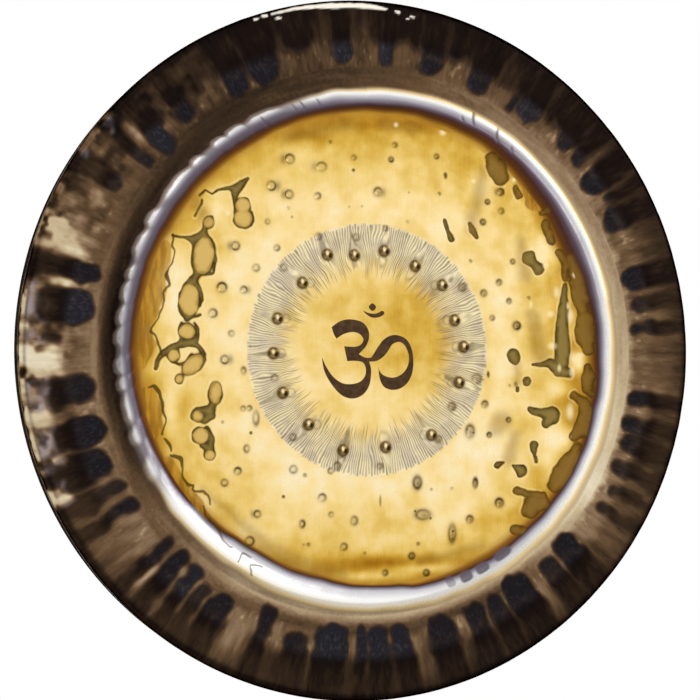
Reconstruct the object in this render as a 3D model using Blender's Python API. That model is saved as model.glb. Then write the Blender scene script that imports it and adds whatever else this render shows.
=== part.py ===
"""A large hanging gong: one hammered sheet with a turned-back flange, and two bushes for its hanging cord.

The gong hangs upright. +Z is up and the face looks along -Y. The origin is the centre of the bounding box,
on the gong's axis. All lengths are in metres.
"""

import math

import bpy
import numpy as np
from mathutils import Matrix, Vector

# Overall sizes of the sheet
OVERALL_DIAMETER = 0.810
SHEET_THICKNESS = 0.0016
FLANGE_DEPTH = 0.054
FLANGE_TAPER_DEGREES = 4.5
RIM_BEND_RADIUS = 0.010

# Zones of the front, measured inwards from the outer edge
RIM_BAND_WIDTH = 0.079
CHANNEL_WIDTH = 0.018
RIDGE_WIDTH = 0.036

# Heights and depths of the front, measured from the plane of the rim band
RIDGE_HEIGHT = 0.0085
CHANNEL_DEPTH = 0.0025
FACE_CROWN = 0.0035
RIM_BAND_FALL = 0.002

# Hanging holes in the flange, one each side of the top
HOLE_DIAMETER = 0.013
HOLE_ANGLE_DEGREES = 20.6
HOLE_SETBACK = 0.036
CUTTER_MARGIN = 0.003

# Bushes that line the hanging holes
BUSH_BORE_DIAMETER = 0.009
BUSH_COLLAR_OVERLAP = 0.004
BUSH_COLLAR_THICKNESS = 0.0018
BUSH_EDGE_RADIUS = 0.0006
FIT_GAP = 0.0003

# How finely the round shapes are divided
SHEET_SEGMENTS = 96
BUSH_SEGMENTS = 24
FACE_RINGS = 3
RIDGE_RINGS = 8
CHANNEL_RINGS = 3
RIM_BAND_RINGS = 2
BEND_RINGS = 5
EDGE_STEPS = 2
MERGE_DISTANCE = 0.00001

OUTER_RADIUS = OVERALL_DIAMETER / 2
RIM_BAND_RADIUS = OUTER_RADIUS - RIM_BAND_WIDTH
CHANNEL_RADIUS = RIM_BAND_RADIUS - CHANNEL_WIDTH
FACE_RADIUS = CHANNEL_RADIUS - RIDGE_WIDTH
TAPER = math.radians(FLANGE_TAPER_DEGREES)
STEP_ANGLE = 2 * math.pi / SHEET_SEGMENTS

NICKEL_SILVER_GOLD = (0.80, 0.62, 0.27, 1.0)
BLACK_NYLON = (0.02, 0.02, 0.022, 1.0)


def clear_scene():
    """Removes every object that the file opened with."""
    for old in list(bpy.data.objects):
        bpy.data.objects.remove(old, do_unlink=True)


def make_material(name, colour, metallic, roughness):
    """A Principled material of one colour."""
    material = bpy.data.materials.new(name)
    material.use_nodes = True
    shader = material.node_tree.nodes["Principled BSDF"]
    shader.inputs["Base Color"].default_value = colour
    shader.inputs["Metallic"].default_value = metallic
    shader.inputs["Roughness"].default_value = roughness
    return material


def smooth_rise(share):
    """0 at share 0, 1 at share 1, level at both ends: half a cosine wave."""
    return 0.5 - 0.5 * np.cos(np.pi * share)


def front_profile():
    """Radius and height of the front skin, from the centre out over the bend to the flange's end."""
    share = np.arange(FACE_RINGS + 1) / FACE_RINGS
    face = np.column_stack([FACE_RADIUS * share, FACE_CROWN * (1 - share**2)])

    share = np.arange(1, RIDGE_RINGS + 1) / RIDGE_RINGS
    fall = -CHANNEL_DEPTH * smooth_rise(share)
    crest = (RIDGE_HEIGHT + CHANNEL_DEPTH / 2) * np.sin(np.pi * share) ** 2
    ridge = np.column_stack([FACE_RADIUS + RIDGE_WIDTH * share, fall + crest])

    share = np.arange(1, CHANNEL_RINGS + 1) / CHANNEL_RINGS
    climb = CHANNEL_DEPTH * (smooth_rise(share) - 1)
    channel = np.column_stack([CHANNEL_RADIUS + CHANNEL_WIDTH * share, climb])

    share = np.arange(1, RIM_BAND_RINGS + 1) / RIM_BAND_RINGS
    band_end = OUTER_RADIUS - RIM_BEND_RADIUS
    band_radius = RIM_BAND_RADIUS + (band_end - RIM_BAND_RADIUS) * share
    band = np.column_stack([band_radius, -RIM_BAND_FALL * smooth_rise(share)])

    quarter_turn = math.pi / 2
    turn = np.append(quarter_turn * np.arange(1, BEND_RINGS + 1) / BEND_RINGS, quarter_turn + TAPER)
    bend_radius = band_end + RIM_BEND_RADIUS * np.sin(turn)
    bend_height = -RIM_BAND_FALL - RIM_BEND_RADIUS * (1 - np.cos(turn))
    bend = np.column_stack([bend_radius, bend_height])

    run = FLANGE_DEPTH + bend_height[-1]
    flange_end = [[bend_radius[-1] - run * math.tan(TAPER), -FLANGE_DEPTH]]
    return np.vstack([face, ridge, channel, band, bend, flange_end])


def back_profile(front):
    """The front skin moved one sheet thickness inwards along its normals, with its end cut square."""
    run = np.gradient(front, axis=0)
    run /= np.linalg.norm(run, axis=1)[:, None]
    normal = np.column_stack([-run[:, 1], run[:, 0]])
    back = front - SHEET_THICKNESS * normal
    back[0] = front[0] - [0, SHEET_THICKNESS]
    back[-2] = front[-2] - SHEET_THICKNESS * np.array([math.cos(TAPER), -math.sin(TAPER)])
    back[-1] = front[-1] - [SHEET_THICKNESS / math.cos(TAPER), 0]
    return back[::-1]


def turned_object(name, profile, segments, closed):
    """An object that a Screw modifier turns about its own Z from points of radius and height."""
    mesh = bpy.data.meshes.new(name)
    points = [(radius, 0.0, height) for radius, height in profile]
    edges = [(i, i + 1) for i in range(len(points) - 1)]
    if closed:
        edges.append((len(points) - 1, 0))
    mesh.from_pydata(points, edges, [])
    turned = bpy.data.objects.new(name, mesh)
    bpy.context.scene.collection.objects.link(turned)
    screw = turned.modifiers.new("turn", "SCREW")
    screw.axis = "Z"
    screw.angle = 2 * math.pi
    screw.steps = segments
    screw.render_steps = segments
    screw.use_merge_vertices = True
    screw.merge_threshold = MERGE_DISTANCE
    screw.use_smooth_shade = True
    return turned


def flange_radius(setback):
    """Radius of the flange's outer skin at a distance behind the rim band's plane."""
    bend_end_radius = OUTER_RADIUS - RIM_BEND_RADIUS * (1 - math.cos(TAPER))
    bend_end_setback = RIM_BAND_FALL + RIM_BEND_RADIUS * (1 + math.sin(TAPER))
    return bend_end_radius - (setback - bend_end_setback) * math.tan(TAPER)


def hole_placement(side):
    """Where a hanging hole leaves the flange, with its own Z along the hole and outwards.

    The hole sits at the middle of the flat facet that is nearest to HOLE_ANGLE_DEGREES from the top."""
    facet = math.floor(math.radians(HOLE_ANGLE_DEGREES) / STEP_ANGLE) + 0.5
    angle = math.pi / 2 - side * facet * STEP_ANGLE
    reach = flange_radius(HOLE_SETBACK) * math.cos(STEP_ANGLE / 2)
    spot = Matrix.Translation(Vector((reach, 0, -HOLE_SETBACK)))
    lean = Matrix.Rotation(math.pi / 2 + TAPER, 4, "Y")
    return Matrix.Rotation(angle, 4, "Z") @ spot @ lean


def make_sheet(parent):
    """The sheet, turned in one piece, with its two hanging holes."""
    front = front_profile()
    profile = np.vstack([front, back_profile(front)])
    sheet = turned_object("gong_disc", profile, SHEET_SEGMENTS, closed=False)
    sheet.parent = parent
    sheet.data.materials.append(make_material("nickel_silver_sheet", NICKEL_SILVER_GOLD, 1.0, 0.22))
    for side, word in ((-1, "left"), (1, "right")):
        cut = sheet.modifiers.new("hanging_hole_" + word, "BOOLEAN")
        cut.operation = "DIFFERENCE"
        cut.solver = "EXACT"
        cut.object = make_hole_cutter(parent, side, word)
    return sheet


def make_hole_cutter(parent, side, word):
    """A drill-shaped cutter, long enough to pass through the flange."""
    radius = HOLE_DIAMETER / 2
    above = CUTTER_MARGIN
    below = -SHEET_THICKNESS - CUTTER_MARGIN
    profile = [(0, above), (radius, above), (radius, below), (0, below)]
    cutter = turned_object("hole_cutter_" + word, profile, BUSH_SEGMENTS, closed=False)
    cutter.parent = parent
    cutter.matrix_local = hole_placement(side)
    cutter.hide_render = True
    cutter.display_type = "WIRE"
    return cutter


def quarter_round(centre, start, end):
    """Points of a small arc between two angles in degrees, both ends included."""
    angles = np.radians(np.linspace(start, end, EDGE_STEPS + 1))
    across = centre[0] + BUSH_EDGE_RADIUS * np.cos(angles)
    up = centre[1] + BUSH_EDGE_RADIUS * np.sin(angles)
    return list(zip(across, up))


def bush_profile():
    """Half section of a bush: a collar outside the flange, a barrel through it and a collar inside."""
    bore = BUSH_BORE_DIAMETER / 2
    barrel = HOLE_DIAMETER / 2 - FIT_GAP
    collar = HOLE_DIAMETER / 2 + BUSH_COLLAR_OVERLAP
    seat_out = FIT_GAP
    seat_in = -SHEET_THICKNESS - FIT_GAP
    top = seat_out + BUSH_COLLAR_THICKNESS
    bottom = seat_in - BUSH_COLLAR_THICKNESS
    r = BUSH_EDGE_RADIUS
    return [
        *quarter_round((bore + r, top - r), 180, 90),
        *quarter_round((collar - r, top - r), 90, 0),
        (collar, seat_out),
        (barrel, seat_out),
        (barrel, seat_in),
        (collar, seat_in),
        *quarter_round((collar - r, bottom + r), 0, -90),
        *quarter_round((bore + r, bottom + r), -90, -180),
    ]


def make_bush(parent, side, word, material):
    """A nylon bush that keeps the hanging cord off the edge of its hole."""
    bush = turned_object("hanging_bush_" + word, bush_profile(), BUSH_SEGMENTS, closed=True)
    bush.parent = parent
    bush.matrix_local = hole_placement(side)
    bush.data.materials.append(material)
    return bush


def make_gong():
    """The whole gong on one upright axis, with the middle of its depth at the origin."""
    clear_scene()
    axis = bpy.data.objects.new("gong_axis", None)
    bpy.context.scene.collection.objects.link(axis)
    front_reach = front_profile()[:, 1].max()
    axis.location = (0, (front_reach - FLANGE_DEPTH) / 2, 0)
    axis.rotation_euler = (math.pi / 2, 0, 0)
    make_sheet(axis)
    nylon = make_material("black_nylon", BLACK_NYLON, 0.0, 0.45)
    for side, word in ((-1, "left"), (1, "right")):
        make_bush(axis, side, word, nylon)
    bpy.context.view_layer.update()


make_gong()
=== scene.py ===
"""Looks of the large hanging gong: one hammered nickel silver sheet, modelled as the bands that its maker
finishes one by one, and the two nylon bushes of its hanging holes.

Lengths on the gong are in units of an 818th of its diameter, just under a millimetre, until a mesh is made. A
place on it is X to the right and Z up from the middle, or a radius and an angle in degrees clockwise from the
top, as seen from the front. Heights are measured from the rim band's plane towards the front. "Run" is the
way along the sheet from the middle outwards: the radius as far as the bend, and on round the bend and along
the flange.
"""
import math

import bpy
import numpy as np
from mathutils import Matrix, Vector


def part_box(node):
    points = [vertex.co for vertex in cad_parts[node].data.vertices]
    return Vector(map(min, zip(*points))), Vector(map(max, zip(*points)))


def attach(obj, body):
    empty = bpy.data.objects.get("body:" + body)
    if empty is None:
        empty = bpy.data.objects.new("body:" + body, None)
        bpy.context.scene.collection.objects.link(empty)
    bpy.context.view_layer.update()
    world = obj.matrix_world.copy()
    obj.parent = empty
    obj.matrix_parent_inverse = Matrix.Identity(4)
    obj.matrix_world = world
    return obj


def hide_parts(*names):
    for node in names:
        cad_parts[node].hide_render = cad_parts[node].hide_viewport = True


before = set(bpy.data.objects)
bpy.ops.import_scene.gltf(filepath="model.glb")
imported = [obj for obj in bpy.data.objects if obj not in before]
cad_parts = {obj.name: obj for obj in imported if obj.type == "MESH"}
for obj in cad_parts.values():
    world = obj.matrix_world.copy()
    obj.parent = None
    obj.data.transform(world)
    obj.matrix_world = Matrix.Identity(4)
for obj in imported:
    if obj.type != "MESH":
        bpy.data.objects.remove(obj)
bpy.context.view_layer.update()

MM = 0.001
LAYOUT_DIAMETER = 818.0
sheet_low, sheet_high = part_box("gong_disc")
UNIT = (sheet_high[0] - sheet_low[0]) / LAYOUT_DIAMETER


def real(millimetres):
    """Millimetres on the real sheet as units of the layout."""
    return millimetres * MM / UNIT


# Driving sizes of the sheet
OUTER_RADIUS = LAYOUT_DIAMETER / 2
RIDGE_HEIGHT, CHANNEL_DEPTH, FACE_CROWN, RIM_FALL = real(8.5), real(2.5), real(3.5), real(2.0)
RIM_WIDTH, CHANNEL_WIDTH, RIDGE_WIDTH = real(79), real(18), real(36)
FLANGE_DEPTH = (sheet_high[1] - sheet_low[1]) / UNIT - RIDGE_HEIGHT
FRONT_PLANE_Y = sheet_low[1] / UNIT + RIDGE_HEIGHT
SHEET = real(1.6)
BEND_RADIUS = real(10)
TAPER = math.radians(4.5)
EDGE_CLEARANCE = 0.25

RIM_START = OUTER_RADIUS - RIM_WIDTH
CHANNEL_START = RIM_START - CHANNEL_WIDTH
RIDGE_START = CHANNEL_START - RIDGE_WIDTH
BEND_START = OUTER_RADIUS - BEND_RADIUS
BEND_END = BEND_START + BEND_RADIUS * (math.pi / 2 + TAPER)
BEND_END_DEPTH = RIM_FALL + BEND_RADIUS * (1 + math.sin(TAPER))
FLANGE_END = BEND_END + (FLANGE_DEPTH - BEND_END_DEPTH) / math.cos(TAPER)

# Hanging holes in the flange, and how many grid cells each takes away on every side of its middle
HOLE_RADIUS, HOLE_SETBACK, HOLE_ANGLE = real(6.5), real(36), 20.625
HOLE_RUN = BEND_END + (HOLE_SETBACK - BEND_END_DEPTH) / math.cos(TAPER)
HOLE_CELLS = 3

# Size of the noise lattice, and distances that stand for far away and for near no outline
NOISE_COLUMNS, NOISE_ROWS = 720, 256
FAR_AWAY, NOWHERE = 1000.0, 20.0

# Heights and depths that hammer, punch, grinder and acid leave on the sheet
WAVE_HEIGHT, RIPPLE_HEIGHT, OVAL_RISE = 0.55, 0.22, 0.5
POOL_DEPTH, LINE_DEPTH, SIGN_DEPTH = 0.45, 0.07, 0.15
GAP_DEPTH, CUT_DEPTH, HOLLOW_DEPTH, MARK_DEPTH = 0.75, 0.9, 0.7, 1.3

# Share of its slope that a normal keeps on the ridge, whose steep sides then mirror the room
RIDGE_SHADING = 0.7

# Ground ring round the sign
RING_INNER, RING_OUTER, RING_LINES = 86.0, 148.0, 264

# Middles of the sixteen knobs that are driven out from behind, X and Z
KNOBS = [
    (-17, 110), (-50, 110), (-80, 77), (-110, 35.5), (-115, -4.5), (-103.5, -50), (-72.5, -86.5),
    (-31, -116.5), (21, -113), (77.5, -99), (112, -37.5), (118, 4.5), (106.5, 35.5), (91, 76.5),
    (57.5, 98.5), (19.5, 115.5),
]
KNOB_WIDTH, KNOB_HEIGHT, KNOB_FOOT_DEPTH = 13.5, 2.3, 0.5

# Peen marks that are oval or have painted shade on one side: X, Z, width, height, how dark, side (-1 left, 1
# right)
PEENS = [
    (-95, 220, 12.7, 12.7, .9, -1), (-56.7, 212, 14, 12, .5, -1), (-117, 188.5, 12.5, 12.5, .9, 1),
    (-96, 179, 11, 11, .9, -1), (-160, 118.5, 11, 11, .9, -1), (-150, 68, 9, 9, .7, 1),
    (-172.5, -12, 11, 11, .9, 1), (-150.4, -24.5, 6, 8, .6, 0), (-135.6, -79, 8, 17, .5, 0),
    (-146.5, -114, 7, 9, .6, 0), (-133.5, -189, 9, 9, .9, -1), (-80, -201, 7, 9, .9, 0),
    (-17, -198, 9, 11, .5, 0), (12, 184.5, 11, 11, .6, 1), (95.6, 205.5, 5, 8, .9, 0),
    (164.7, 188, 9, 9, .9, -1), (148.4, -28, 4, 8, .9, 0), (183.5, -40, 5, 8, .6, 0),
    (125.6, -94.5, 12, 16, .5, 0), (60, -154.5, 11, 16, .9, 0), (14.7, -175.5, 3, 13, .6, 0),
    (132.4, -155.5, 6, 11, .9, 0), (67, -192, 20, 13, .5, 0), (103.8, -214.5, 10, 22, .5, 0),
]
# Round peen marks, with painted shade all round: X, Z, width, how dark
ROUND_PEENS = [
    (-46, 241, 5, .6), (-17.5, 223.6, 6, .3), (-18, 209, 4, .9), (-61.6, 178, 8, .6), (-97, 163, 5, .3),
    (-92.5, 153, 3, .6), (-121.6, 147, 6, .3), (-23.5, 166, 3, .4), (-8, 167, 3, .4), (-110.7, 117, 7, .6),
    (-135.6, 93.6, 9, .4), (-176, 70.4, 13, 1), (-132, 62, 4, .6), (-186.7, 41, 11, .7),
    (-164.7, 18, 7, .35), (-142.5, 3.6, 3, .4), (-157, -139.6, 9, .9), (-172.5, -152.7, 9, .7),
    (-175, -83.6, 4, .5), (-141.6, -96, 4, .9), (-150.7, -68, 6, .4), (-143.5, -67.6, 6, .6),
    (-90.7, -138, 10, .5), (-77, -145, 5, .6), (-102.5, -169.5, 4, .9), (-56, -171, 10, .6),
    (-45, -190.5, 6, .3), (-142.5, -220, 12, .8), (-78, -225, 3, .4), (-72.5, -225, 5, .6),
    (-29.5, -228, 9, .6), (-4, -236, 4, .5), (33, 240, 6, .4), (28.4, 222.7, 6, .9), (84.7, 228, 6, .6),
    (50, 184.5, 3, .4), (87.8, 184, 5, .6), (48, 150, 5, .3), (165.6, 165.5, 7, .4), (148.4, 176, 6, .9),
    (142.5, 152, 7, .9), (126.5, 105.5, 5, .6), (180, 106, 6, .6), (162.5, 81, 7, .6), (143, 68, 8, .6),
    (175, 59, 6, .6), (200, 63, 5, .6), (153.5, 39, 6, .4), (184.7, 30, 10, 1), (175.6, -41, 4, .5),
    (144.4, -62.7, 8, .6), (122, -92.7, 3, .9), (130, -96.4, 3, .9), (174.4, -81.3, 6, .9),
    (150, -99, 6, .9), (77.5, -162.7, 4, .5), (103, -162, 5, .3), (57.5, -188, 3, .9),
    (76.5, -196.4, 3, .9), (125.6, -198, 9, .6), (163, -179, 11, .9), (105, -212, 3, .9),
    (104.7, -221, 3, .9), (61.5, -226, 5, .6), (21, -259, 7, .6), (72, -260, 8, .9), (53.8, -240, 8, .9),
    (-91.6, -101, 9, .6), (-113.5, -33, 9, .4), (-38, -134, 9, .5), (-31.6, -126, 6, .6),
    (-46, -140, 7, .5), (134, -33, 13, .35), (103, -65.5, 10, .5), (14, -135, 7, .4), (21, 142, 6, .4),
    (116, 74.5, 10, .5), (-15, 131, 9, .4), (-61, 131, 9, .4), (-102.5, 94.5, 9, .5), (86.5, -103.6, 8, .4),
]
PEENS += [(x, z, width, width, dark, 0) for x, z, width, dark in ROUND_PEENS]
SMALL_PEEN = 6


def rise(share):
    """Half a cosine wave: 0 at share 0, 1 at share 1, level at both ends."""
    return 0.5 - 0.5 * np.cos(np.pi * np.clip(share, 0, 1))


def eased_share(share):
    """A share from 0 to 1 bent so that it starts and ends level."""
    return share * share * (3 - 2 * share)


def ramp(low, high, value):
    """0 below low, 1 above high, smooth in between. Low may be the larger one."""
    return eased_share(np.clip((value - low) / (high - low), 0, 1))


def bell(value, width):
    """1 where a value is 0, falling off to both sides as a bell curve does."""
    return np.exp(-(value / width) ** 2)


def apart(angle, other):
    """How far an angle lies clockwise of another one, from -180 to 180 degrees."""
    return (angle - other + 180) % 360 - 180


def between(angle, start, end, outside, inside=0.9):
    """1 between two angles, blended into 0 from some degrees inside each to some degrees outside."""
    half = (end - start) / 2
    return ramp(half + outside, half - inside, np.abs(apart(angle, (start + end) / 2)))


def lattice_noise(u, v, seed, around=NOISE_COLUMNS):
    """Smooth noise from -1 to 1: random values at whole u and v, blended between. U repeats after around."""
    values = np.random.default_rng(seed).uniform(-1, 1, (NOISE_COLUMNS, NOISE_ROWS))
    column, row = np.floor(u).astype(int), np.floor(v).astype(int)
    across, up = eased_share(u - column), eased_share(v - row)
    left, right, low, high = column % around, (column + 1) % around, row % NOISE_ROWS, (row + 1) % NOISE_ROWS
    below = values[left, low] * (1 - across) + values[right, low] * across
    above = values[left, high] * (1 - across) + values[right, high] * across
    return below * (1 - up) + above * up


def face_noise(x, z, cell, seed):
    """Two octaves of lattice noise on X and Z, the coarser with cells of the given size."""
    coarse = lattice_noise(x / cell, z / cell, seed)
    return (coarse + 0.5 * lattice_noise(2.1 * x / cell + 7, 2.1 * z / cell, seed + 1)) / 1.5


def arc_noise(angle, run, step, length, seed):
    """Noise in polar form: cells are step degrees wide and length units long. 360 / step is whole."""
    return lattice_noise(angle / step, run / length, seed, around=round(360 / step))


def roughened(x, z, amount, cell, seed):
    """X and Z moved a little by noise, so that an outline that is read there wanders."""
    return x + amount * face_noise(x, z, cell, seed), z + amount * face_noise(x, z, cell, seed + 2)


def line_distance(x, z, ax, az, bx, bz):
    """Distance to the straight line from A to B, and how far along it, 0 to 1, its nearest point lies."""
    run_x, run_z = bx - ax, bz - az
    share = np.clip(((x - ax) * run_x + (z - az) * run_z) / max(run_x**2 + run_z**2, 1e-9), 0, 1)
    return np.hypot(x - ax - share * run_x, z - az - share * run_z), share


def stroke_distance(x, z, path):
    """Distance to a round-ended stroke's edge, less than 0 inside. A path point is X, Z and half width."""
    nearest = np.full_like(x, FAR_AWAY)
    for (ax, az, a_half), (bx, bz, b_half) in zip(path[:-1], path[1:]):
        gap, share = line_distance(x, z, ax, az, bx, bz)
        nearest = np.minimum(nearest, gap - (a_half + share * (b_half - a_half)))
    return nearest


def spot_distance(x, z, middle_x, middle_z, width, height, lean=0.0):
    """Distance to an oval's edge, less than 0 inside. Lean turns its long axis clockwise, in degrees."""
    turn = math.radians(lean)
    across = (x - middle_x) * math.cos(turn) - (z - middle_z) * math.sin(turn)
    along = (x - middle_x) * math.sin(turn) + (z - middle_z) * math.cos(turn)
    share = np.hypot(across / (width / 2), along / (height / 2))
    return (share - 1) * min(width, height) / 2


def merged(distances, softness):
    """Union of shapes whose joins are filled like drops that touch: minus the log of summed exponentials."""
    total = sum(np.exp(-np.clip(d, -40, 40) / softness) for d in distances)
    return -softness * np.log(total + 1e-12)


def smooth_outline(points, steps=6):
    """Points along a Catmull-Rom curve through the given ones, ends included. A third value comes along."""
    points = np.array([points[0], *points, points[-1]], dtype=float)
    t = np.linspace(0, 1, steps, endpoint=False)[:, None]
    spans = []
    for p0, p1, p2, p3 in zip(points[:-3], points[1:-2], points[2:-1], points[3:]):
        spans.append(0.5 * (2 * p1 + (p2 - p0) * t + (2 * p0 - 5 * p1 + 4 * p2 - p3) * t**2
                            + (3 * p1 - p0 - 3 * p2 + p3) * t**3))
    return np.vstack([*spans, points[-2:-1]])


def outline_distance(x, z, spans):
    """Distance to a closed outline, less than 0 inside, where a ray to the right crosses it an odd number of
    times. The outline is given in spans that are smooth inside and meet at corners."""
    outline = np.vstack([smooth_outline(span)[:-1] for span in spans])
    nearest = np.full_like(x, FAR_AWAY)
    inside = np.zeros(x.shape, dtype=bool)
    for (ax, az), (bx, bz) in zip(outline, np.roll(outline, -1, axis=0)):
        nearest = np.minimum(nearest, line_distance(x, z, ax, az, bx, bz)[0])
        if az != bz:
            inside ^= ((az > z) != (bz > z)) & (x < ax + (z - az) * (bx - ax) / (bz - az))
    return np.where(inside, -nearest, nearest)


# Outline of the sign, in spans that are smooth inside and meet at corners, X and Z
SIGN_BODY = [
    [(-38.2, 13.5), (-41.8, 19.5), (-44.1, 27.0)],
    [(-44.1, 27.0), (-33.9, 33.8), (-21.9, 36.2), (-7.7, 33.4), (-0.1, 25.5), (1.6, 15.6), (-2.2, 5.2),
     (-11, -4.1)],
    [(-11, -4.1), (-5.5, -7.2), (-1.0, -8.4), (4.0, -8.0)],
    [(4.0, -8.0), (8.0, -2.4), (13.0, 5.2), (18.5, 12.2), (26.5, 17.2), (35.9, 18.3), (46.8, 13.8),
     (53.6, 3.1), (56.0, -11.4), (54.5, -25.9), (49.0, -36.8), (40.3, -43.6), (29.4, -45.6), (19.5, -41.8),
     (14.4, -32.1), (13.0, -19.2)],
    [(13.0, -19.2), (15.2, -24.9), (20.7, -29.3), (30.6, -31.3), (40.0, -28.2), (46.8, -21.6),
     (50.3, -12.5), (49.7, -3.1), (45.0, 6.6), (38.1, 10.4), (30.0, 7.4), (25.0, 0.0), (18.5, -7.4),
     (10.5, -12.0), (1.6, -12.8)],
    [(1.6, -12.8), (3.8, -20.5), (3.9, -28.0), (2.1, -39.4), (-3.3, -48.7), (-12.1, -54.5), (-23.0, -55.4),
     (-33.9, -50.4), (-44.8, -38.3), (-52.9, -23.8), (-56.3, -6.2)],
    [(-56.3, -6.2), (-51.3, -17.6), (-42.6, -30.0), (-31.7, -37.6), (-20.8, -39.0), (-9.9, -36.3),
     (-3.6, -29.6), (-2.6, -20.7), (-6.5, -13.6), (-16.4, -12.0), (-25.1, -12.4)],
    [(-25.1, -12.4), (-28.9, 4.8)],
    [(-28.9, 4.8), (-16.4, 4.4), (-9.2, 6.6), (-5.5, 12.5), (-9.9, 19.0), (-18.6, 21.4), (-29.5, 18.9),
     (-38.2, 13.5)],
]
SIGN_CRESCENT = [
    [(-6.4, 46.9), (1.0, 43.8), (9.7, 43.2), (17.2, 46.6)], [(17.2, 46.6), (19.6, 45.6), (20.4, 42.6)],
    [(20.4, 42.6), (13.6, 38.9), (4.8, 38.6), (-1.6, 42.0), (-6.4, 46.9)],
]
SIGN_DOT = (5.6, 50.6, 9.0)
SIGN_SHIFT_X, SIGN_SHIFT_Z = -1.0, -0.8


def sign_distance(x, z):
    """Distance to the etched sign's edge: its body, the crescent above it and the dot with four corners."""
    x, z = x - SIGN_SHIFT_X, z - SIGN_SHIFT_Z
    dot_x, dot_z, dot_width = SIGN_DOT
    dot = (np.abs(x - dot_x) ** 1.5 + np.abs(z - dot_z) ** 1.5) ** (1 / 1.5) - dot_width / 2
    return np.minimum.reduce([outline_distance(x, z, SIGN_BODY), outline_distance(x, z, SIGN_CRESCENT), dot])


# Pale ovals that stand in the olive pools on the left; their tan, like the olive, is painted reflection: X,
# Z, width, height, lean
OVALS = [
    (-151.3, 164.5, 18, 18, 0), (-150.7, 150, 20, 20, 0), (-197.5, 106.4, 24, 42, 6),
    (-214.4, 55.5, 23, 36, 0), (-217, 20, 18, 17, 0), (-232.5, -7.3, 13, 13, 0),
    (-209.8, -18.2, 17, 30, 45), (-226, -34.5, 9, 9, 0), (-183.8, -50, 15, 25, 0),
    (-204.4, -76.4, 12, 12, 0), (-200.7, -99, 18, 18, 0), (-189.8, -121, 12, 12, 0),
    (-191.6, 144.5, 12, 12, 0),
]
# Olive pools on the left, painted reflection of dark surroundings in shallow hollows, as strokes of X, Z and
# half width
POOLS_LEFT = [
    [(-145.6, 195.7, 1.7), (-152.5, 190.4, 4.3), (-159.3, 183, 5.6), (-161, 173, 2.6), (-159.3, 156.6, 1.7),
     (-156, 151.6, 3.4)],
    [(-159.3, 185.2, 3.9), (-170, 184.6, 2.1), (-179.3, 182.8, 1.3), (-186.3, 178.6, 1.1),
     (-195, 181.3, 1.1), (-201.4, 176, 1.7)],
    [(-199, 170, 1.2), (-200, 166, 1.4), (-205, 158, 1), (-208, 152, 1.4)],
    [(-160, 147.4, 1.3), (-156, 141.4, 1.5), (-148.7, 139.2, 1.5), (-142, 141.6, 1.5), (-138.6, 147.7, 1.3),
     (-140.6, 157, 0.9)],
    [(-187.7, 149.7, 1.1), (-193.4, 148, 1.5), (-196, 140.8, 1.9), (-197.2, 130.6, 5.6), (-190.9, 124.6, 3),
     (-185.6, 115.5, 1.9), (-183.8, 101, 1.9)],
    [(-197.2, 129.6, 3.9), (-209.7, 125.3, 4.3), (-220, 127.2, 1.7), (-233.7, 128.7, 1.3)],
    [(-208.7, 96, 1.5), (-203.5, 88.8, 1.9), (-195, 84.9, 1.5), (-186.7, 87, 1.3), (-184.2, 98.2, 1.1)],
    [(-208.7, 123.3, 1.3), (-210.2, 109, 1.3), (-208.7, 96, 1.7), (-205.6, 84.8, 4.7), (-209.7, 77.6, 5.6),
     (-220.2, 68.4, 2.6), (-224.3, 62.3, 1.3)],
    [(-209.7, 77.6, 4.3), (-203, 68.5, 2.8), (-199.7, 56.3, 2.1), (-201.4, 49.2, 1.1)],
    [(-225.7, 62.3, 0.9), (-226.4, 50, 0.9), (-222.2, 39, 1.5), (-216, 36, 4.7), (-207.7, 36, 1.3),
     (-200.8, 38.4, 1.3)],
    [(-223.2, 29.8, 1.1), (-225.7, 21.7, 1.1), (-222.2, 12.6, 1.5)],
    [(-207, 29, 1.1), (-204, 21.8, 1.9), (-204.7, 11.6, 2.6), (-210.8, 7.5, 5.6), (-222.3, 5.9, 4.7)],
    [(-222.3, 5.9, 3.9), (-233.7, 1.4, 4.7), (-244, -4.6, 4.3), (-250.3, -12.7, 2.6), (-253.5, -22.4, 2.1)],
    [(-209.7, 6.5, 3.9), (-202.4, 1.4, 3), (-196.8, -5.7, 1.7)],
    [(-233.7, -14.5, 1.3), (-226.4, -17.8, 1.6), (-218, -15.5, 1.8), (-212, -6.7, 1.6)],
    [(-199, -1, 1.2), (-196, -12, 1.5), (-203, -22, 1.5)],
    [(-185, -61, 2.5), (-190, -70, 7), (-203, -70, 4), (-210, -77, 2)], [(-188, -76, 5), (-196, -81, 4)],
    [(-193, -90, 2), (-188.5, -101, 4), (-190, -114, 5.5), (-199, -111, 3)],
]
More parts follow.
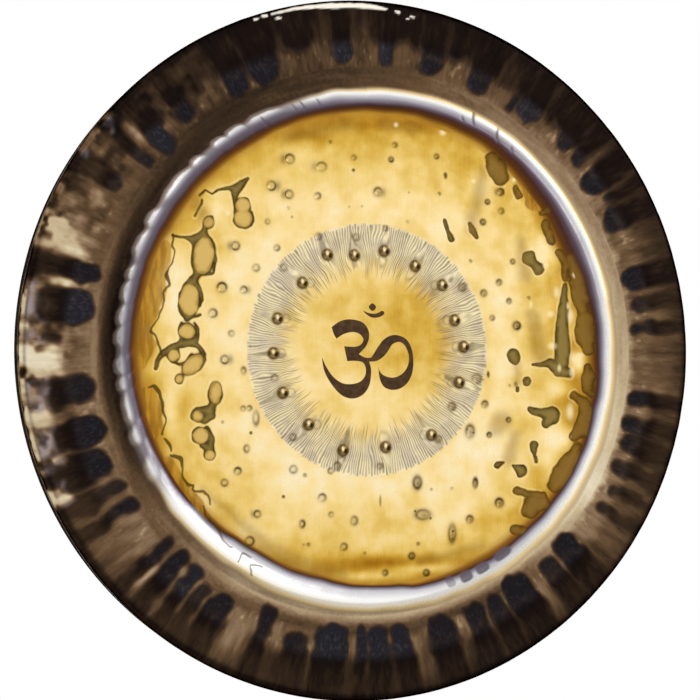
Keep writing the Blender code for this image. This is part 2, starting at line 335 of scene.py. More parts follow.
# Line along the foot of the ridge on the left, X, Z and half width
CONTOUR_LEFT = [
    [(-233.5, 130.5, 1), (-234.4, 118, 1), (-232, 111, .9), (-234.4, 98, .9), (-238.5, 91, 1),
     (-241.6, 82.7, 2.4), (-237.5, 72.7, 1), (-244.4, 63.6, .9), (-243.5, 52.7, .9), (-248.9, 40, .9),
     (-253.5, 29, 1), (-258.9, 21.8, 1.2), (-253.5, 14.5, 1), (-248.9, 1.8, 1.2), (-247, -6, 1)],
    [(-261.6, -43.6, 1), (-255.3, -42.7, 2), (-249.8, -49, 2.6), (-245.3, -61.8, 2), (-243.5, -72.7, 1.4),
     (-241.6, -83.6, 1), (-246, -96.4, 1.2)],
    [(-242.5, -101.8, 1), (-236, -109, 1.8), (-234.4, -116.4, 1)],
    [(-235.3, -121, 1.2), (-223.5, -125.5, 2.4), (-222, -134.5, 1), (-220.7, -145.5, 1),
     (-216, -154.5, 1.6), (-209.8, -156.4, 1.2), (-208, -161.8, 1), (-197, -163.6, 1.4), (-190.7, -169, 1),
     (-189, -178, 1)],
    [(-198, -179, .8), (-191.6, -194.5, 1.2), (-184.4, -200, 1.2), (-179, -207, 1.2), (-175, -216, 1.2),
     (-170, -223.6, 1.2), (-163.5, -227, .8)],
    [(-159, -243.6, .9), (-151.6, -234.5, 1.2), (-148, -233.6, 1.2), (-140.7, -238, .9)],
    [(-141.6, -260, .9), (-143.5, -247.6, 1.2), (-135, -248, 1.2), (-127, -250, .9)],
]
# Brown and olive pools on the right and at the top, painted reflection of dark surroundings in shallow
# hollows
POOLS_RIGHT = [
    [(201, 110, 9.5), (207, 103, 5.5), (213, 98, 8)],
    [(247.3, 80, 2), (246, 62, 5.5), (243.6, 44, 7.5), (243, 25, 8), (242.5, 4, 10.5), (243, -13, 9)],
    [(180, -4, 7.5), (182, -9, 7.5)], [(186, -44, 2), (186, -47, 2)],
    [(94.5, 152, 3), (98, 141, 2.4), (103, 130, 3.6)], [(126, 149, 3), (129, 141, 4.6), (133, 134, 3)],
    [(197.5, -37.3, 5), (197.5, -36.3, 6)],
    [(204.7, -16, 1.5), (215.9, -16.1, 3), (227, -14.5, 6), (239, -22.8, 8), (250.8, -26.1, 6)],
    [(203, -70, 4.5), (216, -73, 5), (230, -77, 10.5), (223, -85, 6)],
    [(206.5, -112, 5.5), (206.5, -117, 4), (207.5, -124, 1)], [(209, -126, 2), (209, -131, 2)],
    [(168, -132, 1.4), (160.7, -135, 4.5)], [(180, -135, 1.6), (190, -141, 8.5)],
]
# Brown patches with clear edges, where the heat ran into the gold: strokes of X, Z and half width
BROWN_PATCHES = [
    [(275, -17, 4), (276, -30, 9), (275, -45, 6), (280, -52, 4)],
    [(258.3, -52, 5), (269, -60, 7), (272.5, -75.7, 10), (267, -91, 11), (259, -101, 7)],
    [(262, -113.6, 5), (254.2, -127.9, 11), (241.9, -145, 13), (231.8, -160, 8)],
    [(185.3, -164.8, 5), (197.3, -169.6, 5), (217.6, -171.8, 5), (219, -180, 7), (205.4, -181, 12),
     (199.4, -190.4, 9)],
    [(181.3, -210.8, 6), (189.2, -212.8, 6)], [(184, 194, 4), (189, 184, 4)],
    [(217.4, 163.6, 3.5), (224, 168, 5)], [(152, 229, 6), (160, 216, 13), (166, 206, 10)],
    [(256.2, 82.3, 4), (264.2, 60.6, 8), (268, 51, 8)], [(272, 36, 12), (273, 15.6, 13), (276, 3, 8)],
    [(257, 108, 10), (263, 86, 10), (269, 66, 10)], [(240, 118, 5), (247.5, 102, 6), (247.4, 86, 3)],
    [(222, 150, 6), (230, 132, 6)],
]
# Amber patches, paler and a little softer
AMBER_PATCHES = [
    [(200, 190, 8), (207, 180, 12), (218, 172, 6)],
    [(-242, 116, 8), (-248, 88, 9), (-254, 62, 12), (-261, 42, 11), (-268, 22, 9), (-263, 4, 10),
     (-270, -18, 6)],
    [(-262, -52, 9), (-256, -72, 12), (-253, -92, 9)],
    [(-238, -130, 7), (-229, -148, 9), (-214, -166, 8), (-203, -180, 8), (-196, -192, 5)],
]
# Soft brown marks: heat tint by the ridge, and painted shade where the face mirrors dark surroundings:
# strokes of X, Z and half width
SOFT_BROWN_MARKS = [
    [(141, 212, 5), (140, 190, 8), (134, 172, 7), (128, 155, 7), (129, 142, 6)],
    [(184, -16, 4), (186, -38, 4)],
    [(-199, -160, 2), (-164, -188, 4), (-147, -204, 6), (-130, -220, 8), (-96, -241, 9), (-61, -253, 7),
     (-30, -258, 5)],
    [(65, -246, 4), (100, -240, 5), (142, -228, 4)], [(-20, 262, 6), (-60, 254, 6), (-100, 244, 6)],
    [(20, 262, 5), (60, 258, 6)], [(165, -84, 12), (160, -90, 10)], [(196, 90, 9), (190, 130, 6)],
    [(-206, 168, 6), (-196, 150, 8)], [(205, 40, 10), (215, -5, 10)], [(176, -125, 9), (182, -100, 7)],
]
# Painted sheens where the face mirrors brighter light, and deeper stretches of the gold's tone: X, Z, half
# width, half height, how much paler
SHEENS_AND_TONES = [
    (62, 22, 46, 60, -.17), (-62, -40, 60, 70, .13), (20, -74, 50, 26, .12), (-90, -175, 80, 50, .05),
    (30, -247, 62, 8, -.3), (-5, -263, 40, 6, .3), (-5, -262, 170, 26, -.12), (244, -106, 14, 14, .4),
    (226, -132, 12, 18, .4), (265, -12, 8, 12, .5), (-232, 66, 17, 62, .32), (-184, 163, 15, 16, .35),
    (-236, -70, 9, 36, .3), (-205, -178, 20, 20, .3), (-150, -215, 40, 22, .22), (130, -150, 60, 60, .14),
    (176, -225, 34, 20, .2), (225, -100, 20, 22, .3), (218, 120, 20, 18, .35), (235, -45, 16, 14, .3),
    (150, 200, 22, 20, .15), (-110, 100, 50, 80, .08), (0, 240, 150, 26, -.08), (40, 266, 125, 11, -.2),
    (-78, 246, 70, 9, -.12), (75, -255, 44, 6, .3), (-60, 232, 60, 18, .06), (212, 30, 22, 46, -.08),
]
# Painted highlights: bright specks, X, Z, width, height
GLINTS = [
    (34.7, 263.6, 6, 6), (92.9, 256.4, 9, 8), (182, 202.7, 6, 6), (217.5, 111, 12, 10), (254, 42, 8, 18),
    (251, 54, 4, 10), (259.8, 91, 7, 7), (239.3, -20, 5, 9), (258, -9, 10, 16), (265, -5, 12, 7),
    (256, -24, 7, 14), (253, -72, 10, 20), (228, 44, 10, 8), (230, 6, 12, 9), (236, 70, 8, 14),
    (222, 102, 8, 8), (258, -103.6, 7, 7), (-169, 156, 7, 7), (131, 200, 6, 6), (203, 55, 5, 9),
]

# Radii where heat colours change, by angle: amber, brown, violet, white, end of white, yellow, violet-grey
# The white is partly a painted highlight on the ridge's crest, and the radii shift with angle as light and
# shade fall on its slopes.
TINT_ANGLES = [0, 30, 60, 90, 120, 150, 165, 180, 195, 210, 225, 240, 270, 300, 330, 345]
TINT_RADII = [
    (277, 282, 287, 296, 301.5, 304, 307), (279, 285, 294, 302.5, 308, 311, 314.5),
    (264, 274, 288, 299, 306.5, 309.5, 314), (276, 284, 289, 296, 305, 310, 315),
    (282, 289.5, 292.5, 298, 307, 312, 318), (277, 285, 287, 293.5, 302, 308, 312),
    (277, 281, 282.5, 287, 299, 305, 310), (272, 274, 275, 279.5, 296, 301, 305),
    (265, 270, 272, 277, 294, 299.5, 303), (264, 267.5, 269, 273.5, 290, 297, 301.5),
    (266, 271, 274, 279, 294, 298.5, 301), (272, 276.5, 279.5, 286, 296.5, 299, 301),
    (270, 281, 286.5, 296, 299, 300.5, 302), (271, 279, 286, 295, 299.5, 301, 302.5),
    (272.5, 278, 288, 296, 300.5, 301.5, 303), (275, 280, 286.5, 294, 300, 302, 303.5),
]
TINT_STEPS = len(TINT_RADII[0]) + 1

# Lumps that the hammer left on the ridge, start and end angle
LUMPS = [
    (240, 244.5), (249, 252.5), (254, 260), (261.5, 263.5), (265, 268), (271, 275), (276, 279.5),
    (280.5, 285), (286, 288.5), (291, 297), (298, 302.5), (305.5, 314), (315, 318), (322, 325),
    (325.5, 330), (330.5, 340), (341.5, 360),
]
# Short cuts across the ridge, darkened with painted shade: angle, outer radius, inner radius, how deep
TICKS = [
    (23, 300, 293, 1), (25.6, 311, 296, 1), (32.2, 309, 292, 1), (36.7, 302, 292, .8), (330, 300, 290, .7),
    (334.2, 298, 283, 1), (342, 300, 288, 1), (344, 300, 288, 1), (347.8, 298, 288, .8),
]
# Round hollows in the ridge at the lower right, darkened with painted shade: start and end angle, outer and
# inner radius, how deep
HOLLOWS = [
    (143, 148, 297, 284, 1), (149.5, 153.3, 298, 284, 1), (154.1, 157.5, 298, 283, 1),
    (158.6, 161, 296, 281, .6),
]

# Tone of the gold by radius, 0 deep and 1 pale
FACE_TONE_RADII = [0, 80, 110, 165, 195, 225, 250, 270]
FACE_TONES = [.62, .65, .66, .83, .76, .66, .56, .46]

# Radius of the painted highlight on the crest of the ridge's lumps, by angle
CREST_ANGLES = [240, 255, 285, 300, 330, 345]
CREST_RADII = [292, 295, 296, 296, 297.5, 299]
CREST_WIDTH = 5

# Tones every thirty degrees from the top, 0 black and 1 cream, of the channel's and the rim's two sides
# The channel's tones are painted light and shade: cream at the lower right, dark on the left. The rim's are
# its oxide worn to bronze, and partly painted light where it is lighter on the left.
CHANNEL_INNER_TONES = [.36, .56, .63, .72, 1.0, .76, .7, .66, .38, .16, .21, .28]
CHANNEL_OUTER_TONES = [.34, .54, .6, .7, .86, .36, .34, .44, .46, .56, .36, .24]
RIM_INNER_TONES = [.36, .44, .45, .46, .52, .49, .48, .53, .5, .5, .42, .34]
RIM_OUTER_TONES = [.17, .15, .22, .33, .36, .25, .26, .36, .4, .42, .38, .19]

# Hammer marks across the rim: start and end angle, radius of the inner end, how dark, how blue
FINGERS = [
    (2.5, 5.5, 332, .9, 1), (10.5, 15, 332, .9, 0), (16, 19, 358, 1, 0), (20.5, 26, 332, .9, 0),
    (31, 32.5, 333, .8, 0), (33, 37.5, 335, .9, 1), (38, 49, 355, .7, 0), (42, 46.5, 340, .9, 0),
    (47.5, 50, 340, .9, 0), (52, 57, 332, 1, 0), (58, 60, 350, .8, 0), (61, 66, 333, .9, 0),
    (73, 78, 332, 1, 0), (79, 82, 335, .7, 0), (84.5, 87, 333, .8, 0), (98, 101, 332, .9, 0),
    (103, 106, 330, .9, 0), (106.3, 111, 335, .8, 0), (112, 115, 335, .7, 0), (117, 119, 345, .7, 0),
    (121, 124, 340, .7, 0), (130.5, 136, 323, 1, 0), (136.3, 141, 328, .8, 0), (143.5, 149.5, 318, 1, 0),
    (150, 154, 324, .9, 0), (154.4, 159.5, 324, .9, 0), (161.5, 167, 320, .9, 0), (170.5, 175, 322, .9, 1),
    (175.3, 180, 322, .9, 1), (180.4, 182.5, 320, .9, 1), (184, 191, 319, 1, 1), (192, 197, 335, .8, 0),
    (200, 203, 316, .9, 0), (208.5, 213.5, 325, .9, 0), (214, 217, 330, .7, 0), (217.5, 220.5, 320, .9, 1),
    (221.5, 225, 317, 1, 0), (226, 229, 316, .9, 0), (236.5, 239, 325, .9, 0), (240.5, 244, 326, .7, 0),
    (245, 251, 330, 1, 0), (251.4, 257, 322, 1, 0), (259.5, 264.5, 325, .9, 0), (271, 273, 360, .8, 0),
    (274.5, 281, 328, .95, 1), (282.5, 286, 325, 1, 0), (300, 304, 345, .8, 0), (308, 310.5, 330, .8, 0),
    (312.5, 316, 321, .95, 1), (319, 322.5, 335, 1, 0), (330, 335, 328, 1, 0), (335.3, 342, 327, 1, 0),
    (343, 350, 356, .75, 0), (353, 357, 333, .95, 1),
]
# Lighter stretches of the rim: start and end angle, tone
RIBS = [
    (26.5, 31, .44), (50, 52, .5), (57, 58, .5), (66, 73, .46), (78, 79, .5), (82, 84.5, .48),
    (87, 98, .45), (119, 131, .42), (141, 143.5, .58), (160, 161.5, .55), (167, 168.5, .5),
    (169, 170.3, .5), (204, 208, .55), (225, 226.5, .75), (229.5, 236, .42), (264.5, 271, .68),
    (280.9, 282.7, .95), (286, 291, .78), (291, 300, .52), (304, 308, .42), (310.5, 312.5, .78),
    (316, 319, .46), (323, 330, .42), (342, 353, .4), (357, 360, .5),
]
# Patches at the rim's edge on the left, worn to bronze and painted light where the bend mirrors the light:
# start and end angle, radius of the inner side, tone
EDGE_PATCHES = [
    (243.8, 247.2, 388, .86), (249.5, 257.8, 384, .8), (257.8, 261.4, 380, .84), (261.4, 266.1, 386, .8),
    (266.1, 270.9, 367, .9), (270.9, 272.6, 387, .62), (272.6, 274.4, 385, .84), (275, 280.7, 389, .8),
    (286.6, 293, 376, .76), (293, 299, 394, .5), (303, 311, 394, .46),
]
# Painted highlights: bright lines and flecks where the bend mirrors the light at the top: strokes of X, Z and
# half width
EDGE_GLINTS = [
    [(-115, 387.5, 1), (-88, 395, 1.6), (-66, 398.2, 2), (-44, 400.2, 2.9), (-20, 401.6, 2.6),
     (4, 401.6, 2.6), (24, 399, .6)],
    [(-136, 380.5, .9), (-133, 381, .9)], [(-126, 384.8, 1.6), (-122, 385.4, 1.4)],
    [(-110, 382.8, 1.2), (-106, 383, 1.3)], [(35, 397, .8), (39, 395.6, 1.6)],
    [(49, 388.6, .8), (51, 388.4, .8)], [(54, 392, .6), (57, 390.6, .9)],
]


def by_angle(angle, tones):
    """A value that is given every thirty degrees from the top, blended in between."""
    return np.interp(angle, np.linspace(0, 360, len(tones) + 1), [*tones, tones[0]])


def undented_height(radius):
    """Height of the smooth front: crowned face, sine-squared ridge, channel, rim band that falls a little."""
    face = FACE_CROWN * (1 - (radius / RIDGE_START) ** 2)
    share = (radius - RIDGE_START) / RIDGE_WIDTH
    ridge = (RIDGE_HEIGHT + CHANNEL_DEPTH / 2) * np.sin(np.pi * share) ** 2 - CHANNEL_DEPTH * rise(share)
    channel = CHANNEL_DEPTH * (rise((radius - CHANNEL_START) / CHANNEL_WIDTH) - 1)
    band = -RIM_FALL * rise((radius - RIM_START) / (BEND_START - RIM_START))
    zones = [radius < RIDGE_START, radius < CHANNEL_START, radius < RIM_START]
    return np.select(zones, [face, ridge, channel], band)


def undented_profile(run):
    """Radius, height and outward normal at a run: the front's curve, a round bend and a straight flange."""
    step = 0.05
    slope = (undented_height(run + step) - undented_height(run - step)) / (2 * step)
    length = np.sqrt(1 + slope**2)
    turn = np.clip((run - BEND_START) / BEND_RADIUS, 0, math.pi / 2 + TAPER)
    past = np.maximum(run - BEND_END, 0)
    bend_radius = BEND_START + BEND_RADIUS * np.sin(turn) - past * math.sin(TAPER)
    bend_height = -RIM_FALL - BEND_RADIUS * (1 - np.cos(turn)) - past * math.cos(TAPER)
    on_front = run < BEND_START
    radius = np.where(on_front, run, bend_radius)
    height = np.where(on_front, undented_height(run), bend_height)
    normal_radius = np.where(on_front, -slope / length, np.sin(turn))
    normal_height = np.where(on_front, 1 / length, np.cos(turn))
    return radius, height, normal_radius, normal_height


def parted(angle, radius):
    """Angles moved so that lines along them part round each knob, as a stream parts round a stone."""
    moved = angle.copy()
    for knob_x, knob_z in KNOBS:
        knob_radius, knob_angle = math.hypot(knob_x, knob_z), math.degrees(math.atan2(knob_x, knob_z))
        aside = np.radians(apart(angle, knob_angle)) * radius
        stone = (0.62 * KNOB_WIDTH) ** 2 * bell(radius - knob_radius, 1.1 * KNOB_WIDTH)
        source = aside * np.sqrt(np.clip(1 - stone / (aside**2 + 0.35 * stone + 1e-6), 0, 1))
        moved += np.degrees((source - aside) / np.maximum(radius, 1)) * (np.abs(aside) < 5 * KNOB_WIDTH)
    return moved


def ring_line(angle, radius):
    """Darkness of the ground ring's lines, 0 to 1. Each starts at its own radius and wanders a little."""
    wander = 0.5 * arc_noise(angle, radius, 3, 13, 31) + arc_noise(angle, radius, 9, 34, 32)
    phase = parted(angle, radius) / 360 * RING_LINES + wander
    index = np.floor(phase).astype(int) % RING_LINES
    chance = np.random.default_rng(33).uniform(0, 1, (RING_LINES, 3))
    start = RING_INNER - 8 + 22 * chance[index, 0]
    across = np.abs(phase - np.floor(phase) - 0.5) * 2
    stroke = ramp(0.9, 0.25, across) * (0.6 + 0.4 * chance[index, 1])
    fade = ramp(0, 14, radius - start) * (0.85 + 0.15 * arc_noise(angle, radius, 1.5, 9, 34))
    end = RING_OUTER - 3.5 * chance[index, 2]
    return np.clip(stroke * fade * ramp(end, end - 1.5, radius), 0, 1)


def peen_relief(x, z):
    """Height of the knobs and peen marks: round-edged bumps, and hollows with a low lip round them."""
    relief = np.zeros_like(x)
    for knob_x, knob_z in KNOBS:
        share = np.hypot(x - knob_x, z - knob_z) / (KNOB_WIDTH / 2)
        relief += KNOB_HEIGHT * np.clip(1 - share**2, 0, 1) ** 1.4 - KNOB_FOOT_DEPTH * bell(share - 1.35, 0.3)
    for mark_x, mark_z, width, height, dark, _ in PEENS:
        near = (np.abs(x - mark_x) < 1.6 * width) & (np.abs(z - mark_z) < 1.6 * height)
        share = np.hypot((x[near] - mark_x) / (width / 2), (z[near] - mark_z) / (height / 2))
        depth = 0.11 * min(width, height) * (0.5 + 0.5 * dark)
        relief[near] += depth * (0.25 * bell(share - 1.15, 0.35) - np.clip(1 - share**2, 0, 1) ** 1.3)
    return relief


def pool_distance(x, z):
    """Distance to the nearest pool's edge on the face. A pool also lies round each oval."""
    x, z = roughened(x, z, 1.4, 11, 41)
    pools = [stroke_distance(x, z, path) for path in POOLS_LEFT + POOLS_RIGHT]
    pools += [spot_distance(x, z, ox, oz, w + 2.6, h + 2.6, lean) for ox, oz, w, h, lean in OVALS]
    return merged(pools, 1.4)


def oval_distance(x, z):
    """Distance to the nearest pale oval's edge."""
    x, z = roughened(x, z, 1.2, 9, 45)
    return merged([spot_distance(x, z, *oval) for oval in OVALS], 0.8)


def patch_distance(x, z, patches, seed):
    """Distance to the nearest patch's edge, which wanders."""
    x, z = roughened(x, z, 2.2, 13, seed)
    return merged([stroke_distance(x, z, path) for path in patches], 1.5)


def contour_distance(x, z):
    """Distance to the nearest dark line along the foot of the ridge."""
    x, z = roughened(x, z, 1.7, 9, 51)
    return np.minimum.reduce([stroke_distance(x, z, smooth_outline(path, 4)) for path in CONTOUR_LEFT])


def finger_distance(angle, radius, start, end, inner):
    """Distance to the edge of a hammer mark on the rim: a radial slot with a round inner end."""
    half = math.radians(end - start) / 2
    across = np.abs(np.radians(apart(angle, (start + end) / 2))) * radius
    inner_half = half * (inner + 10)
    below = np.maximum(inner + inner_half - radius, 0)
    return np.where(below > 0, np.hypot(across, below) - inner_half, across - half * radius)


def rim_relief(angle, run):
    """Height of the rim's hammer marks: a shallow groove at each, and a fine ripple over all."""
    relief = 0.35 * arc_noise(angle, run, 2.5, 60, 51) + 0.18 * arc_noise(angle, run, 1.25, 22, 52)
    for start, end, inner, dark, _ in FINGERS:
        relief -= MARK_DEPTH * dark * ramp(2.5, -6, finger_distance(angle, run, start, end, inner))
    return relief


def face_relief(run, angle, x, z):
    """Height of the face's hammer waves, knobs, peen marks, pools, ground lines and etched sign."""
    waves = WAVE_HEIGHT * face_noise(x, z, 34, 61) + RIPPLE_HEIGHT * face_noise(x, z, 15, 63)
    waves = waves * (0.6 + 0.4 * ramp(-100, 180, x)) * (0.25 + 0.75 * ramp(90, 150, run))
    relief = waves + peen_relief(x, z)
    if run.max() > RING_OUTER + 1:
        relief += OVAL_RISE * ramp(2, -3, oval_distance(x, z))
        relief -= POOL_DEPTH * ramp(2.5, -2.5, pool_distance(x, z))
    relief *= ramp(RIDGE_START + 8, RIDGE_START - 14, run)
    if run.min() < RING_OUTER and run.max() > RING_INNER - 8:
        relief -= LINE_DEPTH * ring_line(angle, run)
    if run.max() < RING_INNER + 2:
        relief -= SIGN_DEPTH * ramp(0.4, -0.4, sign_distance(x, z))
    return relief


def ridge_relief(run, angle):
    """Height of the ridge's lumps, and of the cuts and round hollows in it."""
    on_ridge = ramp(RIDGE_START - 6, RIDGE_START + 10, run) * ramp(CHANNEL_START + 4, CHANNEL_START - 8, run)
    gap = 1 - lump_share(angle, run)
    relief = on_ridge * (0.25 * arc_noise(angle, run, 3, 40, 65) - GAP_DEPTH * gap - 0.35)
    for tick, outer, inner, deep in TICKS:
        relief -= CUT_DEPTH * deep * tick_share(angle, run, tick, outer, inner, 2.6)
    for start, end, outer, inner, deep in HOLLOWS:
        relief -= HOLLOW_DEPTH * deep * hollow_share(angle, run, start, end, outer, inner)
    return relief


def relief_height(run, angle, x, z):
    """Height that hammer, punch and grinder add to the smooth sheet. The outermost edge and the flange round
    the hanging holes are left smooth, and nothing stands out past the bend."""
    relief = np.zeros_like(run)
    if run.min() < RIDGE_START + 8:
        relief += face_relief(run, angle, x, z)
    if run.max() > RIDGE_START - 8 and run.min() < CHANNEL_START + 6:
        relief += ridge_relief(run, angle)
    if run.max() > RIM_START - 12:
        flange = 1 - 0.8 * ramp(BEND_START + 8, BEND_END, run)
        bend = 1 - 0.8 * ramp(BEND_START - 8, BEND_START + 6, run)
        on_rim = ramp(RIM_START - 12, RIM_START + 12, run) * flange * bend
        relief += on_rim * rim_relief(angle, np.minimum(run, BEND_END))
        edge = ramp(BEND_START - 10, BEND_START + 8, run)
        hole_near = np.exp(-(apart(angle, 0) / 32) ** 4)
        lowered = np.minimum(relief, 0.6) - edge * EDGE_CLEARANCE * (1 - hole_near)
        relief = np.where(run > BEND_START - 10, lowered, relief)
        relief = np.where(run > BEND_START, np.minimum(relief, -0.05), relief) * (1 - edge * hole_near)
    return relief


def tick_share(angle, run, tick, outer, inner, width):
    """1 in a short cut across the ridge, fading out at its sides and ends. It leans a little."""
    across = np.radians(apart(angle, tick)) * run + 0.25 * (run - (outer + inner) / 2)
    return bell(across, width) * ramp(inner - 3, inner + 3, run) * ramp(outer + 3, outer - 3, run)


def hollow_share(angle, run, start, end, outer, inner):
    """1 in a round hollow of the ridge, 0 outside it."""
    across = apart(angle, (start + end) / 2) / ((end - start) / 2)
    along = (run - (outer + inner) / 2) / ((outer - inner) / 2)
    return ramp(1.1, 0.75, (np.abs(across) ** 3 + np.abs(along) ** 3) ** (1 / 3))


def lump_share(angle, run):
    """1 on the ridge's lumps and round the right side, 0 in the gaps between the lumps on the left."""
    angle = angle + 0.09 * (run - 293) + 0.5 * arc_noise(angle, run, 5, 12, 117)
    share = ramp(238, 232, np.abs(angle))
    for start, end in LUMPS:
        middle, half = (start + end) / 2, (end - start) / 2
        share = np.maximum(share, ramp(half + 1.0, half * 0.35, np.abs(angle - middle)))
    return share


def sheet_point(run, angle, below=0.0):
    """Points of the sheet's front, or of a skin below it, and their X and Z on the undented front."""
    radius, height, normal_radius, normal_height = undented_profile(run)
    turn = np.radians(angle)
    x, z = radius * np.sin(turn), radius * np.cos(turn)
    lift = relief_height(run, angle % 360, x, z) - below
    radius = radius + lift * normal_radius
    height = height + lift * normal_height
    return np.stack([radius * np.sin(turn), FRONT_PLANE_Y - height, radius * np.cos(turn)], -1), x, z


def grid_normals(points):
    """Normals of a grid with one ring too many at each side: the cross product of its two ways."""
    along = points[2:] - points[:-2]
    across = np.roll(points, -1, axis=1)[1:-1] - np.roll(points, 1, axis=1)[1:-1]
    normals = np.cross(across, along)
    return normals / np.maximum(np.linalg.norm(normals, axis=-1, keepdims=True), 1e-9)


def eased(normals, share):
    """Normals turned a little towards the gong's axis, so that a steep slope mirrors the room."""
    normals = normals * np.array([share, 1.0, share])
    return normals / np.linalg.norm(normals, axis=-1, keepdims=True)


def skin(runs, segments, below=0.0, holes=()):
    """A skin of the sheet on a grid of runs and angles: its points, normals, runs, angles, X and Z."""
    runs = np.asarray(runs, dtype=float)
    wide = np.concatenate([[2 * runs[0] - runs[1]], runs, [2 * runs[-1] - runs[-2]]])
    angles = np.arange(segments) * 360 / segments
    run, angle = np.meshgrid(wide, angles, indexing="ij")
    for hole_run, hole_angle in holes:
        run, angle = round_a_hole(run, angle, hole_run, hole_angle, runs, segments)
    points, x, z = sheet_point(run, angle, below)
    normals = grid_normals(points)
    if runs[0] == 0:
        normals[0] = normals[1].mean(axis=0) / np.linalg.norm(normals[1].mean(axis=0))
    inner = slice(1, -1)
    return points[inner], normals, run[inner], angle[inner] % 360, x[inner], z[inner]


def hole_block(runs, segments, hole_run, hole_angle):
    """The ring and column in a grid at the middle of a hanging hole."""
    ring = int(np.argmin(np.abs(runs - hole_run)))
    column = round((hole_angle % 360) / 360 * segments) % segments
    return ring, column


def round_a_hole(run, angle, hole_run, hole_angle, runs, segments):
    """Moves grid points near a hole so that a square block's edge becomes a circle, fading out around it."""
    radius = float(undented_profile(np.array([hole_run]))[0][0])
    ring, _ = hole_block(runs, segments, hole_run, hole_angle)
    half_along = (runs[ring + HOLE_CELLS] - runs[ring - HOLE_CELLS]) / 2
    half_across = math.radians(HOLE_CELLS * 360 / segments) * radius
    across = np.radians(apart(angle, hole_angle)) * radius
    along = run - hole_run
    share = np.maximum(np.maximum(np.abs(across) / half_across, np.abs(along) / half_along), 1e-6)
    length = np.maximum(np.hypot(across, along), 1e-6)
    fade = np.clip(1 - (share - 1) / 1.5, 0, 1) ** 2 * (share > 0.99)
    move_across = (HOLE_RADIUS * across / length - across / share) * fade
    move_along = (HOLE_RADIUS * along / length - along / share) * fade
    return run + move_along, angle + np.degrees(move_across / radius)


def put_in_scene(name, data):
    """An object for a mesh, a camera or a lamp."""
    made = bpy.data.objects.new(name, data)
    bpy.context.scene.collection.objects.link(made)
    return made


def mesh_object(name, points, face_groups, materials):
    """A mesh object in metres. A face group: vertex numbers, corner normals, material, whether smooth."""
    loops = np.concatenate([faces.ravel() for faces, *_ in face_groups])
    used, renumbered = np.unique(loops, return_inverse=True)
    sizes = np.concatenate([np.full(len(faces), faces.shape[1]) for faces, *_ in face_groups])
    mesh = bpy.data.meshes.new(name)
    mesh.vertices.add(len(used))
    mesh.vertices.foreach_set("co", (points[used] * UNIT).ravel())
    mesh.loops.add(len(loops))
    mesh.loops.foreach_set("vertex_index", renumbered.astype(np.int32))
    mesh.polygons.add(len(sizes))
    mesh.polygons.foreach_set("loop_start", (np.cumsum(sizes) - sizes).astype(np.int32))
    mesh.update(calc_edges=True)
    for material in materials:
        mesh.materials.append(material)
    slots = np.concatenate([np.full(len(faces), slot) for faces, _, slot, _ in face_groups])
    mesh.polygons.foreach_set("material_index", slots.astype(np.int32))
    is_skin = np.concatenate([np.full(len(faces), on_skin) for faces, _, _, on_skin in face_groups])
    mesh.polygons.foreach_set("use_smooth", is_skin)
    loop_normals = np.concatenate([group_normals.reshape(-1, 3) for _, group_normals, *_ in face_groups])
    stored = mesh.attributes.new("custom_normal", "FLOAT_VECTOR", "CORNER")
    stored.data.foreach_set("vector", loop_normals.astype(np.float32).ravel())
    return put_in_scene(name, mesh), used


def flat_normals(points, faces):
    """The normal of each face, once for each of its corners."""
    first, second, third = (points[faces[:, corner]] for corner in (0, 1, -1))
    normals = np.cross(second - first, third - first)
    normals /= np.maximum(np.linalg.norm(normals, axis=1, keepdims=True), 1e-9)
    return np.repeat(normals[:, None], faces.shape[1], axis=1)


def skin_faces(numbers, keep):
    """Four-cornered faces of a grid of vertex numbers that comes round, for the cells to keep."""
    here, onward = numbers, np.roll(numbers, -1, axis=1)
    faces = np.stack([here[:-1], onward[:-1], onward[1:], here[1:]], -1)
    return faces[keep]


def ring_wall(front, back, step, outer):
    """Faces that join a ring of the front skin to the coarser ring of the back skin."""
    near = np.append(front, front[0])
    far = np.append(back, back[0])
    start = np.arange(len(back))
    columns = [near[start * step + corner] for corner in range(step + 1)] + [far[start + 1], far[start]]
    faces = np.stack(columns, -1)
    return faces if outer else faces[:, ::-1]


def hole_walls(front, back, keep):
    """Faces that line the holes left in a grid, between the same edges of the front and the back skin."""
    before = np.roll(keep, 1, axis=1)
    walls = []
    front_on, back_on = np.roll(front, -1, axis=1), np.roll(back, -1, axis=1)
    ring_edges = [(keep[:-1] & ~keep[1:], (front, front_on, back_on, back)),
                  (~keep[:-1] & keep[1:], (front_on, front, back, back_on))]
    for where, corners in ring_edges:
        walls.append(np.stack([grid[1:-1][where] for grid in corners], -1))
    column_edges = [(before & ~keep, (front[1:], front[:-1], back[:-1], back[1:])),
                    (~before & keep, (front[:-1], front[1:], back[1:], back[:-1]))]
    for where, corners in column_edges:
        walls.append(np.stack([grid[where] for grid in corners], -1))
    return np.concatenate(walls)


